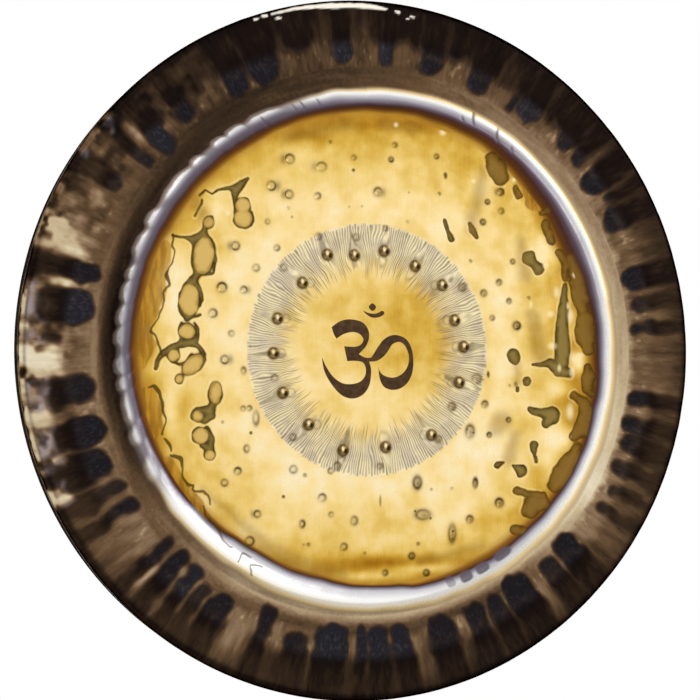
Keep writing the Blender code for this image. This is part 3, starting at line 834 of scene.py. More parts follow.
def make_band(name, runs, segments, materials, paint, step=2, holes=()):
    """A closed band of the sheet: a fine front skin, a back skin one sheet below, and walls where it is cut.

    Paint turns run, angle, X and Z into named values, which are stored on the front's points."""
    front_points, front_normals, run, angle, x, z = skin(runs, segments, 0.0, holes)
    if name == "gong_ridge":
        front_normals = eased(front_normals, RIDGE_SHADING)
    back_points, back_normals, *_ = skin(runs[::step], segments // step, SHEET, holes)
    points = np.concatenate([front_points.reshape(-1, 3), back_points.reshape(-1, 3)])
    front = np.arange(front_points[..., 0].size).reshape(front_points.shape[:2])
    back = front.size + np.arange(back_points[..., 0].size).reshape(back_points.shape[:2])
    normals = np.concatenate([front_normals.reshape(-1, 3), -back_normals.reshape(-1, 3)])
    keep = np.ones((len(front) - 1, front.shape[1]), dtype=bool)
    for hole_run, hole_angle in holes:
        ring, column = hole_block(runs, segments, hole_run, hole_angle)
        columns = np.arange(column - HOLE_CELLS, column + HOLE_CELLS) % segments
        keep[ring - HOLE_CELLS:ring + HOLE_CELLS, columns] = False
    keep_back = keep if step == 1 else np.ones((len(back) - 1, back.shape[1]), dtype=bool)
    groups = []
    has_pole = runs[0] == 0
    if has_pole:
        for numbers, slot, flip in ((front, 0, False), (back, 1, True)):
            numbers[0] = numbers[0, 0]
            fan = np.stack([numbers[0], np.roll(numbers[1], -1), numbers[1]], -1)
            fan = fan[:, ::-1] if flip else fan
            groups.append((fan, normals[fan], slot, True))
        keep[0] = keep_back[0] = False
    front_faces = skin_faces(front, keep)
    back_faces = skin_faces(back, keep_back)[:, ::-1]
    groups += [(front_faces, normals[front_faces], 0, True), (back_faces, normals[back_faces], 1, True)]
    walls = [ring_wall(front[-1], back[-1], step, True)]
    if not has_pole:
        walls.append(ring_wall(front[0], back[0], step, False))
    if holes:
        walls.append(hole_walls(front, back, keep))
    for faces in walls:
        groups.append((faces, flat_normals(points, faces), 1, False))
    piece, used = mesh_object(name, points, groups, materials)
    for attribute, values in paint(run, angle, x, z).items():
        full = np.zeros(len(points), dtype=np.float32)
        full[:front.size] = np.broadcast_to(values, front.shape).ravel()
        stored = piece.data.attributes.new(attribute, "FLOAT", "POINT")
        stored.data.foreach_set("value", full[used])
    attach(piece, "root")
    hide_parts("gong_disc")
    return piece


def lumpy_side(angle):
    """1 on the left side, where the ridge has lumps."""
    return ramp(228, 246, angle) * ramp(362, 335, angle)


def heat_tint(angle, radius):
    """How far the heat colours have run, 0 to 1, from the radii where they change at the angles given."""
    angles = np.array(TINT_ANGLES + [360])
    radii = np.array(TINT_RADII + [TINT_RADII[0]], dtype=float)
    borders = np.stack([np.interp(angle, angles, column) for column in radii.T], -1)
    borders = borders + 1.2 * arc_noise(angle, radius, 4, 25, 71)[..., None]
    # On the lumpy side the white, a painted highlight, bulges out over each lump.
    borders[..., 3:] -= 3.5 * (lumpy_side(angle) * (1 - lump_share(angle, radius)))[..., None]
    tint = np.zeros_like(radius)
    before = borders[..., 0] - 15
    for border in np.moveaxis(borders, -1, 0):
        tint += np.clip((radius - before) / np.maximum(border - before, 0.3), 0, 1)
        before = border
    return (tint + np.clip((radius - before) / 3, 0, 1)) / TINT_STEPS


def face_tone(run, x, z):
    """How pale the gold is: palest round the ground ring, deeper in the middle and by the ridge; painted
    sheens, deeper tones and painted shade at the right edge lie over it.
    """
    tone = np.interp(run, FACE_TONE_RADII, FACE_TONES)
    tone = tone + 0.10 * face_noise(x, z, 48, 81) + 0.08 * face_noise(x, z, 20, 83)
    for sheen_x, sheen_z, half_width, half_height, paler in SHEENS_AND_TONES:
        tone += paler * bell(x - sheen_x, half_width) * bell(z - sheen_z, half_height)
    # Painted shade: darker at the right edge, where the face mirrors darker surroundings.
    return tone - 0.1 * ramp(165, 250, x) * ramp(250, 170, np.abs(z))


def peen_paint(x, z):
    """Painted shade and brown of the peen marks: small ones dark all over, others with a dark ring and heart
    of shade and a soft mark of shade on one side.
    """
    dark, brown = np.zeros_like(x), np.zeros_like(x)
    for mark_x, mark_z, width, height, amount, side in PEENS:
        near = (np.abs(x - mark_x) < 2.4 * width) & (np.abs(z - mark_z) < 2 * height)
        across, up = (x[near] - mark_x) / (width / 2), (z[near] - mark_z) / (height / 2)
        reach = np.hypot(across, up)
        if min(width, height) < SMALL_PEEN:
            dark[near] = np.maximum(dark[near], 0.95 * amount * ramp(1.5, 0.5, reach))
            continue
        # Marks towards the right get a darker heart and more brown: painted shade, as the face mirrors darker
        # surroundings there.
        right = 0.3 + 0.7 * float(ramp(-60, 60, mark_x))
        turned = 0.72 + 0.28 * np.sin(np.arctan2(up, across) + mark_x)
        ring = bell(reach - 0.8, 3.2 / min(width, height)) * turned
        heart = 0.6 * right * bell(np.hypot(across - 0.25, up + 0.2), 0.4)
        soft_mark = 0.55 * bell(across - 1.2 * side, 0.7) * bell(up, 1.0) * abs(side)
        darkness = (0.4 + 0.6 * amount) * np.maximum.reduce([ring, heart, soft_mark])
        dark[near] = np.maximum(dark[near], np.clip(darkness, 0, 1))
        fringe = (0.3 + 0.5 * amount) * right * np.exp(-np.maximum(reach - 0.8, 0) ** 2 / 0.3)
        brown[near] = np.maximum(brown[near], fringe)
    return dark, brown


def mark_paint(x, z):
    """Painted shade and brown of the peen marks and the knobs, and the painted highlight on each knob."""
    dark, brown = peen_paint(x, z)
    glint = np.zeros_like(x)
    half = KNOB_WIDTH / 2
    for knob_x, knob_z in KNOBS:
        across, up = x - knob_x, z - knob_z
        reach = np.hypot(across, up) / half
        # Each knob is a polished dome: painted shade on its left side and round it, a black spot of painted
        # shade right of its painted highlight, and away from the middle a faint second ring of painted shade.
        left_side = 0.62 * ramp(1.1, 0.8, reach) * ramp(-0.1, -0.5, (across - 0.45 * up) / half)
        black_spot = ramp(1.1, 0.6, np.hypot(across - 3.1, (up + 0.8) * 0.8) / 3.2)
        dark = np.maximum.reduce([dark, 0.75 * bell(reach - 0.92, 0.16), left_side, black_spot])
        brown = np.maximum(brown, bell(np.maximum(reach - 0.75, 0), 0.4))
        if abs(knob_x) > 60:
            second = np.hypot(across + math.copysign(9.5, knob_x), up) / (KNOB_WIDTH / 2.4)
            dark = np.maximum(dark, 0.35 * bell(second - 0.9, 0.2) * (reach > 1))
        glint = np.maximum(glint, ramp(0.6, 0.15, np.hypot((across + 0.6) / 0.6, up - 1.8) / half))
    return dark, brown, glint


def face_paint(run, angle, x, z):
    """Painted values of the face: heat tint, gold tone with painted sheens, outlines' distances, and the
    painted shade and highlights of the marks.
    """
    dark, brown, glint = mark_paint(x, z)
    for glint_x, glint_z, width, height in GLINTS:
        reach = np.hypot((x - glint_x) / (width / 2), (z - glint_z) / (height / 2))
        glint = np.maximum(glint, 0.75 * ramp(1.5, 0.1, reach))
    start = run + 7 * arc_noise(angle, run, 2, 20, 87)
    ground = ramp(RING_INNER - 4, RING_INNER + 40, start) * ramp(RING_OUTER - 0.3, RING_OUTER - 2.5, run)
    values = {"tone": face_tone(run, x, z), "dark": dark, "brown": brown, "glint": glint,
              "line": ring_line(angle, run), "ground": ground, "tint": heat_tint(angle, run)}
    values |= dict.fromkeys(("pool", "oval", "contour", "patch", "amber", "sign"), NOWHERE)
    if run.max() > RING_OUTER + 1:
        soft_mark = patch_distance(x, z, SOFT_BROWN_MARKS, 121)
        values |= {"pool": pool_distance(x, z), "oval": oval_distance(x, z),
                   "contour": contour_distance(x, z), "patch": patch_distance(x, z, BROWN_PATCHES, 125),
                   "amber": patch_distance(x, z, AMBER_PATCHES, 129),
                   "brown": np.maximum(brown, 0.55 * ramp(7, -7, soft_mark))}
    if run.min() < 1:
        values["sign"] = sign_distance(x, z)
    return values


def ridge_paint(run, angle, x, z):
    """Painted values of the ridge and the channel: heat tint, channel tone, and the painted shade between the
    ridge's lumps, in its cuts and hollows and over its left side.
    """
    left = lumpy_side(angle)
    bright = lump_share(angle, run) * bell(run - np.interp(angle, CREST_ANGLES, CREST_RADII), CREST_WIDTH)
    # Gap is painted shade: between the lumps, round each painted crest highlight, and over the cream on the
    # left side.
    gap = left * (1 - 0.74 * bright) * ramp(281, 288, run) * ramp(303, 298, run)
    tint = heat_tint(angle, run)
    gap = np.maximum(gap, 0.9 * left * ramp(0.6, 0.67, tint) * ramp(0.97, 0.85, tint))
    blue = np.zeros_like(run)
    for tick, outer, inner, deep in TICKS:
        cut = deep * tick_share(angle, run, tick, outer, inner, 1.7)
        gap, blue = np.maximum(gap, cut), np.maximum(blue, 0.55 * cut)
    for start, end, outer, inner, deep in HOLLOWS:
        gap = np.maximum(gap, deep * hollow_share(angle, run, start, end, outer, inner))
    tone = channel_tone(run, angle)
    if run.max() > CHANNEL_START + 1:
        mark, mark_blue = mark_cover(angle, run)
        tone, blue = tone * (1 - mark) + 0.07 * mark, np.maximum(blue, mark_blue)
    values = {"tint": tint, "tone": tone, "gap": gap, "blue": blue}
    values |= {"gold": 0.5, "patch": NOWHERE, "contour": NOWHERE}
    if run.min() < CHANNEL_START - 2:
        values |= {"gold": face_tone(run, x, z), "patch": patch_distance(x, z, BROWN_PATCHES, 125),
                   "contour": contour_distance(x, z)}
    return values


def channel_tone(run, angle):
    """How light the channel is painted, light and shade by angle: its two sides blended, drawn out along the
    grinder's path.
    """
    outer = ramp(308, 326, run)
    tone = by_angle(angle, CHANNEL_INNER_TONES) * (1 - outer) + by_angle(angle, CHANNEL_OUTER_TONES) * outer
    return tone + 0.035 * arc_noise(angle, run, 7.5, 5, 91) + 0.02 * arc_noise(angle, run, 3, 2.5, 92)


def mark_cover(angle, run):
    """How far the hammer marks blacken the rim, less towards the edge, and how blue their inner ends are."""
    mark, blue = np.zeros_like(run), np.zeros_like(run)
    turned = angle + 0.6 * arc_noise(angle, run, 3, 25, 111)
    ragged = 2.4 * arc_noise(angle, run, 1.5, 12, 112)
    for start, end, inner_end, amount, is_blue in FINGERS:
        gap = finger_distance(turned, run, start, end, inner_end) + ragged
        cover = amount * ramp(3.5, -5, gap) * ramp(409, 402, run)
        mark = np.maximum(mark, cover * (1 - 0.45 * ramp(358, 385, run)))
        blue = np.maximum(blue, (0.4 + 0.4 * is_blue) * cover * ramp(366, 352, run))
    return mark, blue


def rim_paint(run, angle, x, z):
    """Painted values of the rim: how light the oxide is worn, with painted light on its left side and edge,
    how blue and matt it is, a painted lavender highlight, and painted glints.
    """
    streak = arc_noise(angle, run, 1.5, 60, 101) + 0.6 * arc_noise(angle, run, 0.75, 34, 103)
    outer = by_angle(angle, RIM_OUTER_TONES) + 0.05 * streak
    for start, end, level in RIBS:
        outer = outer + 0.75 * (level - 0.34) * between(angle, start, end, 0.8) * ramp(400, 370, run)
    fleck = arc_noise(angle, run, 0.75, 9, 107) + 0.6 * arc_noise(angle, run, 0.5, 6, 108)
    inner = by_angle(angle, RIM_INNER_TONES) + 0.06 * arc_noise(angle, run, 1.25, 30, 105)
    inner = inner + 0.12 * ramp(0.5, 1.1, fleck)
    tone = inner + (outer - inner) * ramp(348, 368, run + 8 * arc_noise(angle, run, 2.5, 60, 109))
    # On the left the tone is mottled: painted light where the worn bronze mirrors the light there.
    left = ramp(235, 275, angle) * ramp(345, 315, angle) * ramp(340, 352, run)
    mottle = 0.13 * arc_noise(angle, run, 2.5, 15, 131) + 0.09 * arc_noise(angle, run, 1.25, 7, 132)
    tone = tone + left * (mottle - 0.03)
    blend = ramp(RIM_START + 10, RIM_START - 4, run + 5 * arc_noise(angle, run, 2, 12, 110))
    tone = tone * (1 - blend) + channel_tone(run, angle) * blend
    mark, blue = mark_cover(angle, run)
    # Shine: a painted highlight in the marks near their inner ends.
    shine = 0.13 * bell(run - 353 - 5 * arc_noise(angle, run, 1.5, 40, 113), 5)
    tone = tone * (1 - mark) + (0.07 + shine * (0.6 + 0.7 * arc_noise(angle, run, 1.25, 9, 114))) * mark
    tone = tone * (1 - 0.5 * ramp(396, 406, run))
    lavender_highlight = np.zeros_like(run)
    under = ramp(0.1, 0.5, mark)
    ragged = run + 8 * arc_noise(angle, run, 1.5, 14, 115)
    blotch = arc_noise(angle, run, 1.875, 11, 116) + 0.4 * arc_noise(angle, run, 0.75, 6, 118)
    worn = ramp(-0.8, 0.3, blotch) * (1 - 0.45 * under) + 0.1 * under
    clouded = under * ramp(-0.9, 0.7, arc_noise(angle, run, 1.25, 6, 133))
    # Edge patches: worn bronze, painted light where the bend mirrors the light; over the marks they carry a
    # lavender painted highlight.
    for start, end, inner_end, level in EDGE_PATCHES:
        inside = between(angle, start, end, 1.0) * ramp(-8, 8, ragged - inner_end)
        cover = inside * ramp(BEND_END + 16, BEND_END + 9, run) * worn
        tone = tone + (level - tone) * cover
        lavender_highlight = np.maximum(lavender_highlight, clouded * cover)
    gap = np.minimum.reduce([stroke_distance(x, z, path) for path in EDGE_GLINTS])
    glint = ramp(1.0, -0.6, gap + 0.5 * arc_noise(angle, run, 0.75, 4, 119))
    glint = glint * ramp(BEND_END + 3, BEND_END - 3, run)
    matt = ramp(BEND_END + 8, BEND_END + 15, run)
    return {"tone": tone, "blue": blue * (tone < 0.5), "lavender_highlight": lavender_highlight, "glint": glint, "matt": matt}


def linear(hex_colour):
    """A linear RGBA colour from an sRGB hex value."""
    parts = [int(hex_colour[place:place + 2], 16) / 255 for place in (1, 3, 5)]
    return [part / 12.92 if part <= 0.04045 else ((part + 0.055) / 1.055) ** 2.4 for part in parts] + [1.0]


def add(tree, kind, links=None, **settings):
    """Adds a node with its settings. Links maps an input to a socket to link or to a value."""
    node = tree.nodes.new(kind)
    for setting, value in settings.items():
        setattr(node, setting, value)
    for name, source in (links or {}).items():
        if isinstance(source, bpy.types.NodeSocket):
            tree.links.new(source, node.inputs[name])
        else:
            node.inputs[name].default_value = source
    return node


def painted(tree, name):
    """The value that a mesh stores under a name."""
    return add(tree, "ShaderNodeAttribute", attribute_name=name).outputs["Fac"]


def colour_ramp(tree, value, stops):
    """A colour ramp through places and hex colours."""
    node = add(tree, "ShaderNodeValToRGB", {"Fac": value})
    elements = node.color_ramp.elements
    while len(elements) < len(stops):
        elements.new(0.5)
    for element, (place, colour) in zip(elements, stops):
        element.position = place
        element.color = linear(colour)
    return node.outputs["Color"]


def spread(tree, value, low, high, out_low=0.0, out_high=1.0):
    """Maps a value's range to another, smoothly, and keeps it there."""
    ranges = {"Value": value, "From Min": low, "From Max": high, "To Min": out_low, "To Max": out_high}
    return add(tree, "ShaderNodeMapRange", ranges, interpolation_type="SMOOTHSTEP").outputs["Result"]


def layer(tree, below, above, cover):
    """Lays a colour over another as far as cover says."""
    return add(tree, "ShaderNodeMix", {0: cover, 6: below, 7: above}, data_type="RGBA").outputs[2]


def calculate(tree, operation, *values):
    """One sum of the Math node."""
    return add(tree, "ShaderNodeMath", dict(enumerate(values)), operation=operation).outputs[0]


def swing(tree, noise, low, high):
    """Maps the range that a noise's values mostly keep to, 0.3 to 0.7, to another."""
    return spread(tree, noise, 0.3, 0.7, low, high)


def grained(tree, value, noise, amount):
    """Adds a noise to a value, as much up as down."""
    return calculate(tree, "ADD", value, swing(tree, noise, -amount, amount))


def stain(tree, below, name, above, strength=1.0):
    """Lays a colour over another as far as a painted value and a strength say."""
    return layer(tree, below, above, calculate(tree, "MULTIPLY", painted(tree, name), strength))


def pattern(tree, size, detail=3.0, stretch=(1, 1, 1)):
    """Noise on object coordinates: grains of about size millimetres, drawn out along an axis by stretch."""
    place = add(tree, "ShaderNodeTexCoord").outputs["Object"]
    scale = [1 / (size * MM * part) for part in stretch]
    mapped = add(tree, "ShaderNodeMapping", {"Vector": place, "Scale": scale}).outputs["Vector"]
    return add(tree, "ShaderNodeTexNoise", {"Vector": mapped, "Scale": 1.0, "Detail": detail}).outputs["Fac"]


def new_material(name, metallic):
    """A Principled material without colours yet: itself, its tree and its shader."""
    material = bpy.data.materials.new(name)
    material.use_nodes = True
    shader = material.node_tree.nodes["Principled BSDF"]
    shader.inputs["Metallic"].default_value = metallic
    return material, material.node_tree, shader


def finish(tree, shader, colour, roughness, grain, strength, depth):
    """Gives a shader its colour and roughness, and the bumps of a grain that is depth metres deep."""
    bump = add(tree, "ShaderNodeBump", {"Height": grain, "Strength": strength, "Distance": depth})
    surface = {"Base Color": colour, "Roughness": roughness, "Normal": bump.outputs["Normal"]}
    for name, source in surface.items():
        tree.links.new(source, shader.inputs[name])


def gold_colours(tree, tone):
    """Colours of the polished sheet, from deep to pale gold."""
    return colour_ramp(tree, tone, [
        (0.0, "#764a10"), (0.2, "#a67019"), (0.36, "#c2922d"), (0.5, "#dab04a"), (0.66, "#efcc74"),
        (0.82, "#fcdf9b"), (1.0, "#ffeec2")])


def brown_patches(tree, colour, cover):
    """Lays the brown patches with their dark edges over a colour."""
    patch = painted(tree, "patch")
    cloudy = grained(tree, patch, pattern(tree, 12), 1.6)
    brown = colour_ramp(tree, spread(tree, cloudy, -8, 1), [
        (0.0, "#80602a"), (0.4, "#785620"), (0.7, "#684a1a"), (0.9, "#4a3412"), (1.0, "#6b4a18")])
    return layer(tree, colour, brown, calculate(tree, "MULTIPLY", spread(tree, patch, 0.9, -0.9), cover))


def pale_halo(tree, colour, distance, tint):
    """Lays a faint pale line round a patch over a colour, but none where heat has coloured it."""
    inner, outer = spread(tree, distance, 0.6, 1.6), spread(tree, distance, 3.6, 1.8, 0.0, 0.3)
    line = calculate(tree, "MULTIPLY", inner, outer)
    cover = calculate(tree, "MULTIPLY", line, spread(tree, tint, 0.06, 0.0))
    return layer(tree, colour, linear("#ffe9b4"), cover)


def polished_nickel_silver():
    """Nickel silver, hammered and polished: pale gold with deeper streaks, olive pools of painted reflection,
    and painted sheens, highlights and shade.
    """
    material, tree, shader = new_material("polished_nickel_silver", 1.0)
    hairline, mottle = pattern(tree, 1.6, 2.0, (1, 1, 14)), pattern(tree, 26, 4.0)
    tone = grained(tree, grained(tree, painted(tree, "tone"), hairline, 0.014), mottle, 0.08)
    tint = painted(tree, "tint")
    colour = layer(tree, gold_colours(tree, tone), heat_colours(tree, tint), spread(tree, tint, 0.03, 0.2))
    streaks = spread(tree, pattern(tree, 7, 3.0, (1, 1, 5)), 0.38, 0.62)
    amber = layer(tree, linear("#bf8a2c"), linear("#93631a"), streaks)
    colour = layer(tree, colour, amber, spread(tree, painted(tree, "amber"), 1.6, -1.6, 0.0, 0.8))
    colour = brown_patches(tree, pale_halo(tree, colour, painted(tree, "patch"), tint), 0.92)
    silver = spread(tree, pattern(tree, 22), 0.4, 0.65)
    colour = stain(tree, colour, "ground", layer(tree, linear("#fbedc6"), linear("#d9cdba"), silver), 0.75)
    colour = stain(tree, colour, "line", linear("#594e36"), 0.76)
    # Olive of the pools and tan of the ovals: painted reflection of dark surroundings in the hollows
    pool, oval, cloud = painted(tree, "pool"), painted(tree, "oval"), pattern(tree, 12)
    olive = colour_ramp(tree, spread(tree, grained(tree, pool, cloud, 1.2), -7, 1.6), [
        (0.0, "#8f783e"), (0.35, "#7a6635"), (0.68, "#67552c"), (0.88, "#463710"), (1.0, "#6a5528")])
    colour = layer(tree, pale_halo(tree, colour, pool, tint), olive, spread(tree, pool, 1.0, -0.8))
    pale = colour_ramp(tree, spread(tree, grained(tree, oval, cloud, 1.2), -5, 0), [
        (0.0, "#d9b568"), (0.7, "#cfaa5a"), (1.0, "#b08d48")])
    colour = layer(tree, colour, pale, spread(tree, oval, 0.8, -0.8))
    contour = spread(tree, painted(tree, "contour"), 1.1, -0.8, 0.0, 0.9)
    colour = layer(tree, colour, linear("#4d3b16"), contour)
    # Brown of the marks and soft strokes, painted shade of the marks and knobs, and painted highlights
    colour = stain(tree, colour, "brown", linear("#8f6a2c"), 0.8)
    colour = stain(tree, colour, "dark", linear("#33260c"))
    colour = stain(tree, colour, "glint", linear("#ffeab4"))
    sign = spread(tree, painted(tree, "sign"), 0.35, -0.35)
    bitten = spread(tree, pattern(tree, 6), 0.35, 0.65)
    etched = layer(tree, linear("#5c4631"), linear("#4d3927"), bitten)
    rough = calculate(tree, "ADD", swing(tree, mottle, 0.2, 0.3), calculate(tree, "MULTIPLY", sign, 0.3))
    finish(tree, shader, layer(tree, colour, etched, sign), rough, hairline, 0.12, 0.0002)
    return material


def heat_colours(tree, tint):
    """Colours that heat gives the bare metal: straw, brown, violet, silver and yellow again, with a stretch
    of white that is a painted highlight.
    """
    return colour_ramp(tree, tint, [
        (0.0, "#cfa24a"), (0.125, "#a8782b"), (0.25, "#643b16"), (0.32, "#4c2f26"), (0.37, "#5a4a52"),
        (0.43, "#8b848f"), (0.5, "#c8c5c9"), (0.58, "#fbfaf8"), (0.66, "#fff4dc"), (0.75, "#e6cb93"),
        (0.875, "#a88d6a")])


def heat_tinted_ridge():
    """Nickel silver ridge, planished and coloured by heat in rings, with the brushed channel outside it. The
    white of its rings is partly a painted highlight, its gaps are painted shade, and the channel's sides are
    painted light and dark by angle.
    """
    material, tree, shader = new_material("heat_tinted_nickel_silver", 1.0)
    tint, brushed = painted(tree, "tint"), pattern(tree, 5)
    tone = grained(tree, painted(tree, "tone"), brushed, 0.02)
    gold = gold_colours(tree, painted(tree, "gold"))
    colour = layer(tree, gold, heat_colours(tree, tint), spread(tree, tint, 0.03, 0.2))
    colour = brown_patches(tree, colour, spread(tree, tint, 0.34, 0.26, 0.0, 0.92))
    colour = layer(tree, colour, oxide_colours(tree, tone), spread(tree, tint, 0.78, 0.97))
    colour = stain(tree, colour, "blue", linear(MARK_BLUE), 0.9)
    # Painted shade between the lumps and in the cuts and hollows
    colour = stain(tree, colour, "gap", linear("#625862"), 0.88)
    contour = spread(tree, painted(tree, "contour"), 1.0, -0.8, 0.0, 0.75)
    colour = layer(tree, colour, linear("#5a4b45"), contour)
    finish(tree, shader, colour, swing(tree, brushed, 0.22, 0.34), brushed, 0.06, 0.0003)
    return material


def oxide_colours(tree, tone):
    """Colours of oxide on the sheet by how much of it was brushed off, from black over bronze to cream."""
    return colour_ramp(tree, tone, [(0.0, "#0b090a"), (0.14, "#1f1612"), (0.3, "#3e2f21"), (0.45, "#6a5139"),
                                    (0.6, "#9a8063"), (0.78, "#cdb994"), (1.0, "#f8edd4")])


def radial_pattern(tree, across, along, detail=3.0):
    """Noise whose grains are drawn out along the radius: about across by along millimetres on the rim."""
    vector = "ShaderNodeVectorMath"
    place = add(tree, "ShaderNodeTexCoord").outputs["Object"]
    flat = add(tree, vector, {0: place, 1: (1, 0, 1)}, operation="MULTIPLY").outputs[0]
    reach = add(tree, vector, {0: flat}, operation="LENGTH").outputs["Value"]
    outward = add(tree, vector, {0: flat}, operation="NORMALIZE").outputs[0]
    turned = add(tree, vector, {0: outward, "Scale": MID_RIM_RADIUS / across}, operation="SCALE").outputs[0]
    depth = add(tree, "ShaderNodeCombineXYZ", {"Y": calculate(tree, "DIVIDE", reach, along * MM)}).outputs[0]
    total = add(tree, vector, {0: turned, 1: depth}, operation="ADD").outputs[0]
    return add(tree, "ShaderNodeTexNoise", {"Vector": total, "Scale": 1.0, "Detail": detail}).outputs["Fac"]


# The blue-black of the rim's hammer marks, and the middle radius of the rim in millimetres
MARK_BLUE = "#2b2a31"
MID_RIM_RADIUS = 365


def oxidised_rim():
    """Black fire oxide on the hammered rim, worn to bronze between the hammer marks, satin, not polished,
    with painted highlights in the marks, a lavender painted highlight on the left and painted glints at the
    top of the bend.
    """
    material, tree, shader = new_material("fire_oxidised_nickel_silver", 1.0)
    grain = radial_pattern(tree, 5, 22)
    tone = grained(tree, painted(tree, "tone"), grain, 0.03)
    colour = oxide_colours(tree, grained(tree, tone, radial_pattern(tree, 1.8, 7), 0.012))
    colour = stain(tree, colour, "blue", linear(MARK_BLUE), 0.9)
    # Speckled painted highlights in the blue of the marks
    speckled_highlight = spread(tree, radial_pattern(tree, 3.2, 6), 0.46, 0.74, 0.0, 0.28)
    colour = stain(tree, colour, "blue", linear("#5b5f68"), speckled_highlight)
    # Painted lavender highlight on the left, and painted glints along the top of the bend
    colour = stain(tree, colour, "lavender_highlight", linear("#a79fab"), 0.8)
    colour = stain(tree, colour, "glint", linear("#fff6e6"))
    tree.links.new(calculate(tree, "SUBTRACT", 1.0, painted(tree, "matt")), shader.inputs["Metallic"])
    shader.inputs["Specular IOR Level"].default_value = 0.0
    shader.inputs["Specular Tint"].default_value = linear("#4a443e")
    finish(tree, shader, colour, swing(tree, grain, 0.26, 0.4), grain, 0.1, 0.0005)
    return material


def raw_back():
    """Back of the sheet as it left the hammer: dull brown fire skin with brassy wear, never polished."""
    material, tree, shader = new_material("unpolished_nickel_silver_back", 1.0)
    grain = pattern(tree, 5, 4.0)
    worn = calculate(tree, "ADD", pattern(tree, 45, 5.0), calculate(tree, "MULTIPLY", grain, 0.4))
    colour = colour_ramp(tree, spread(tree, worn, 0.45, 0.95), [
        (0.0, "#3a2f24"), (0.35, "#52422e"), (0.65, "#705a38"), (1.0, "#93784a")])
    finish(tree, shader, colour, swing(tree, grain, 0.36, 0.5), grain, 0.3, 0.0006)
    return material


def moulded_nylon():
    """Black nylon, injection moulded: a soft satin skin with a fine spark-eroded grain of about 0.4 mm."""
    material, tree, shader = new_material("moulded_black_nylon", 0.0)
    shader.inputs["IOR"].default_value = 1.53
    grain = pattern(tree, 0.4, 2.0)
    colour = layer(tree, linear("#17171a"), linear("#232327"), spread(tree, grain, 0.35, 0.65))
    finish(tree, shader, colour, swing(tree, grain, 0.42, 0.55), grain, 0.3, 0.0001)
    return material


# Bands of the sheet from the middle outwards: name, start, end, rings, segments
FACE_BANDS = [
    ("gong_face_centre", 0, RING_INNER, 104, 700), ("gong_ground_ring", RING_INNER, RING_OUTER, 44, 1760),
    ("gong_face_inner", RING_OUTER, 180, 38, 1400), ("gong_face_middle", 180, 212, 38, 1600),
    ("gong_face_outer", 212, 243, 38, 1840), ("gong_face_border", 243, RIDGE_START, 38, 2000),
]
RIDGE_BANDS = [
    ("gong_ridge", RIDGE_START, CHANNEL_START, 36, 1440),
    ("gong_channel", CHANNEL_START, RIM_START, 16, 1200),
]
RIM_BANDS = [("gong_rim_band", RIM_START, BEND_START, 40, 1200)]
BEND_RINGS, HOLE_RINGS, FLANGE_SEGMENTS = 12, 8, 1152


def make_gong():
    """All bands of the sheet from the middle outwards, and the bushes' finish."""
    face, ridge, rim, back = polished_nickel_silver(), heat_tinted_ridge(), oxidised_rim(), raw_back()
    zones = [(FACE_BANDS, face, face_paint), (RIDGE_BANDS, ridge, ridge_paint), (RIM_BANDS, rim, rim_paint)]
    for bands, material, paint in zones:
        for name, start, end, rings, segments in bands:
            make_band(name, np.linspace(start, end, rings + 1), segments, [material, back], paint)
    bend_runs = np.linspace(BEND_START, BEND_END, BEND_RINGS, endpoint=False)
    upper_runs = np.linspace(BEND_END, HOLE_RUN, HOLE_RINGS, endpoint=False)
    lower_runs = np.linspace(HOLE_RUN, FLANGE_END, HOLE_RINGS + 1)
    flange_runs = np.concatenate([bend_runs, upper_runs, lower_runs])
    holes = [(HOLE_RUN, -HOLE_ANGLE), (HOLE_RUN, HOLE_ANGLE)]
    make_band("gong_flange", flange_runs, FLANGE_SEGMENTS, [rim, back], rim_paint, step=1, holes=holes)
    nylon = moulded_nylon()
    for side in ("left", "right"):
        bush = bpy.data.objects["hanging_bush_" + side]
        bush.data.materials.clear()
        bush.data.materials.append(nylon)


# The studio in metres
CAMERA_PLACE, CAMERA_TARGET = (-0.9886, -3.0656, -0.067), (-0.0187, -0.0167, 0.0)
LENS_MM, SENSOR_MM, LENS_SHIFT = 142.85, 36.0, -0.001
SOFTBOX_SIZE = 1.6
AMBIENT_STRENGTH = 0.6
FLOOR_Z, FLOOR_RADIUS, FLOOR_SIDES = -0.80, 2.4, 96
FLOOR_FADE_START, FLOOR_FADE_END = 0.5, 2.2
FLAG_TOP, FLAG_STEPS, FLAG_FADE_IN, FLAG_FADE_OUT = 2.4, 24, 0.35, 0.7


def aim(thing, target):
    """Turns a camera or a lamp so that it looks at a point, with its top up."""
    thing.rotation_euler = (Vector(target) - thing.location).to_track_quat("-Z", "Y").to_euler()


def make_camera():
    """A long lens in front of the gong, a little to its left and a little below its middle."""
    data = bpy.data.cameras.new("camera")
    camera = put_in_scene("camera", data)
    camera.location = CAMERA_PLACE
    aim(camera, CAMERA_TARGET)
    data.lens, data.sensor_width, data.shift_x = LENS_MM, SENSOR_MM, LENS_SHIFT
    bpy.context.scene.camera = camera


def make_lamp(name, place, power):
    """A square softbox that looks at the gong's middle."""
    data = bpy.data.lights.new(name, "AREA")
    data.size, data.energy = SOFTBOX_SIZE, power
    lamp = put_in_scene(name, data)
    lamp.location = place
    aim(lamp, (0, 0, 0))


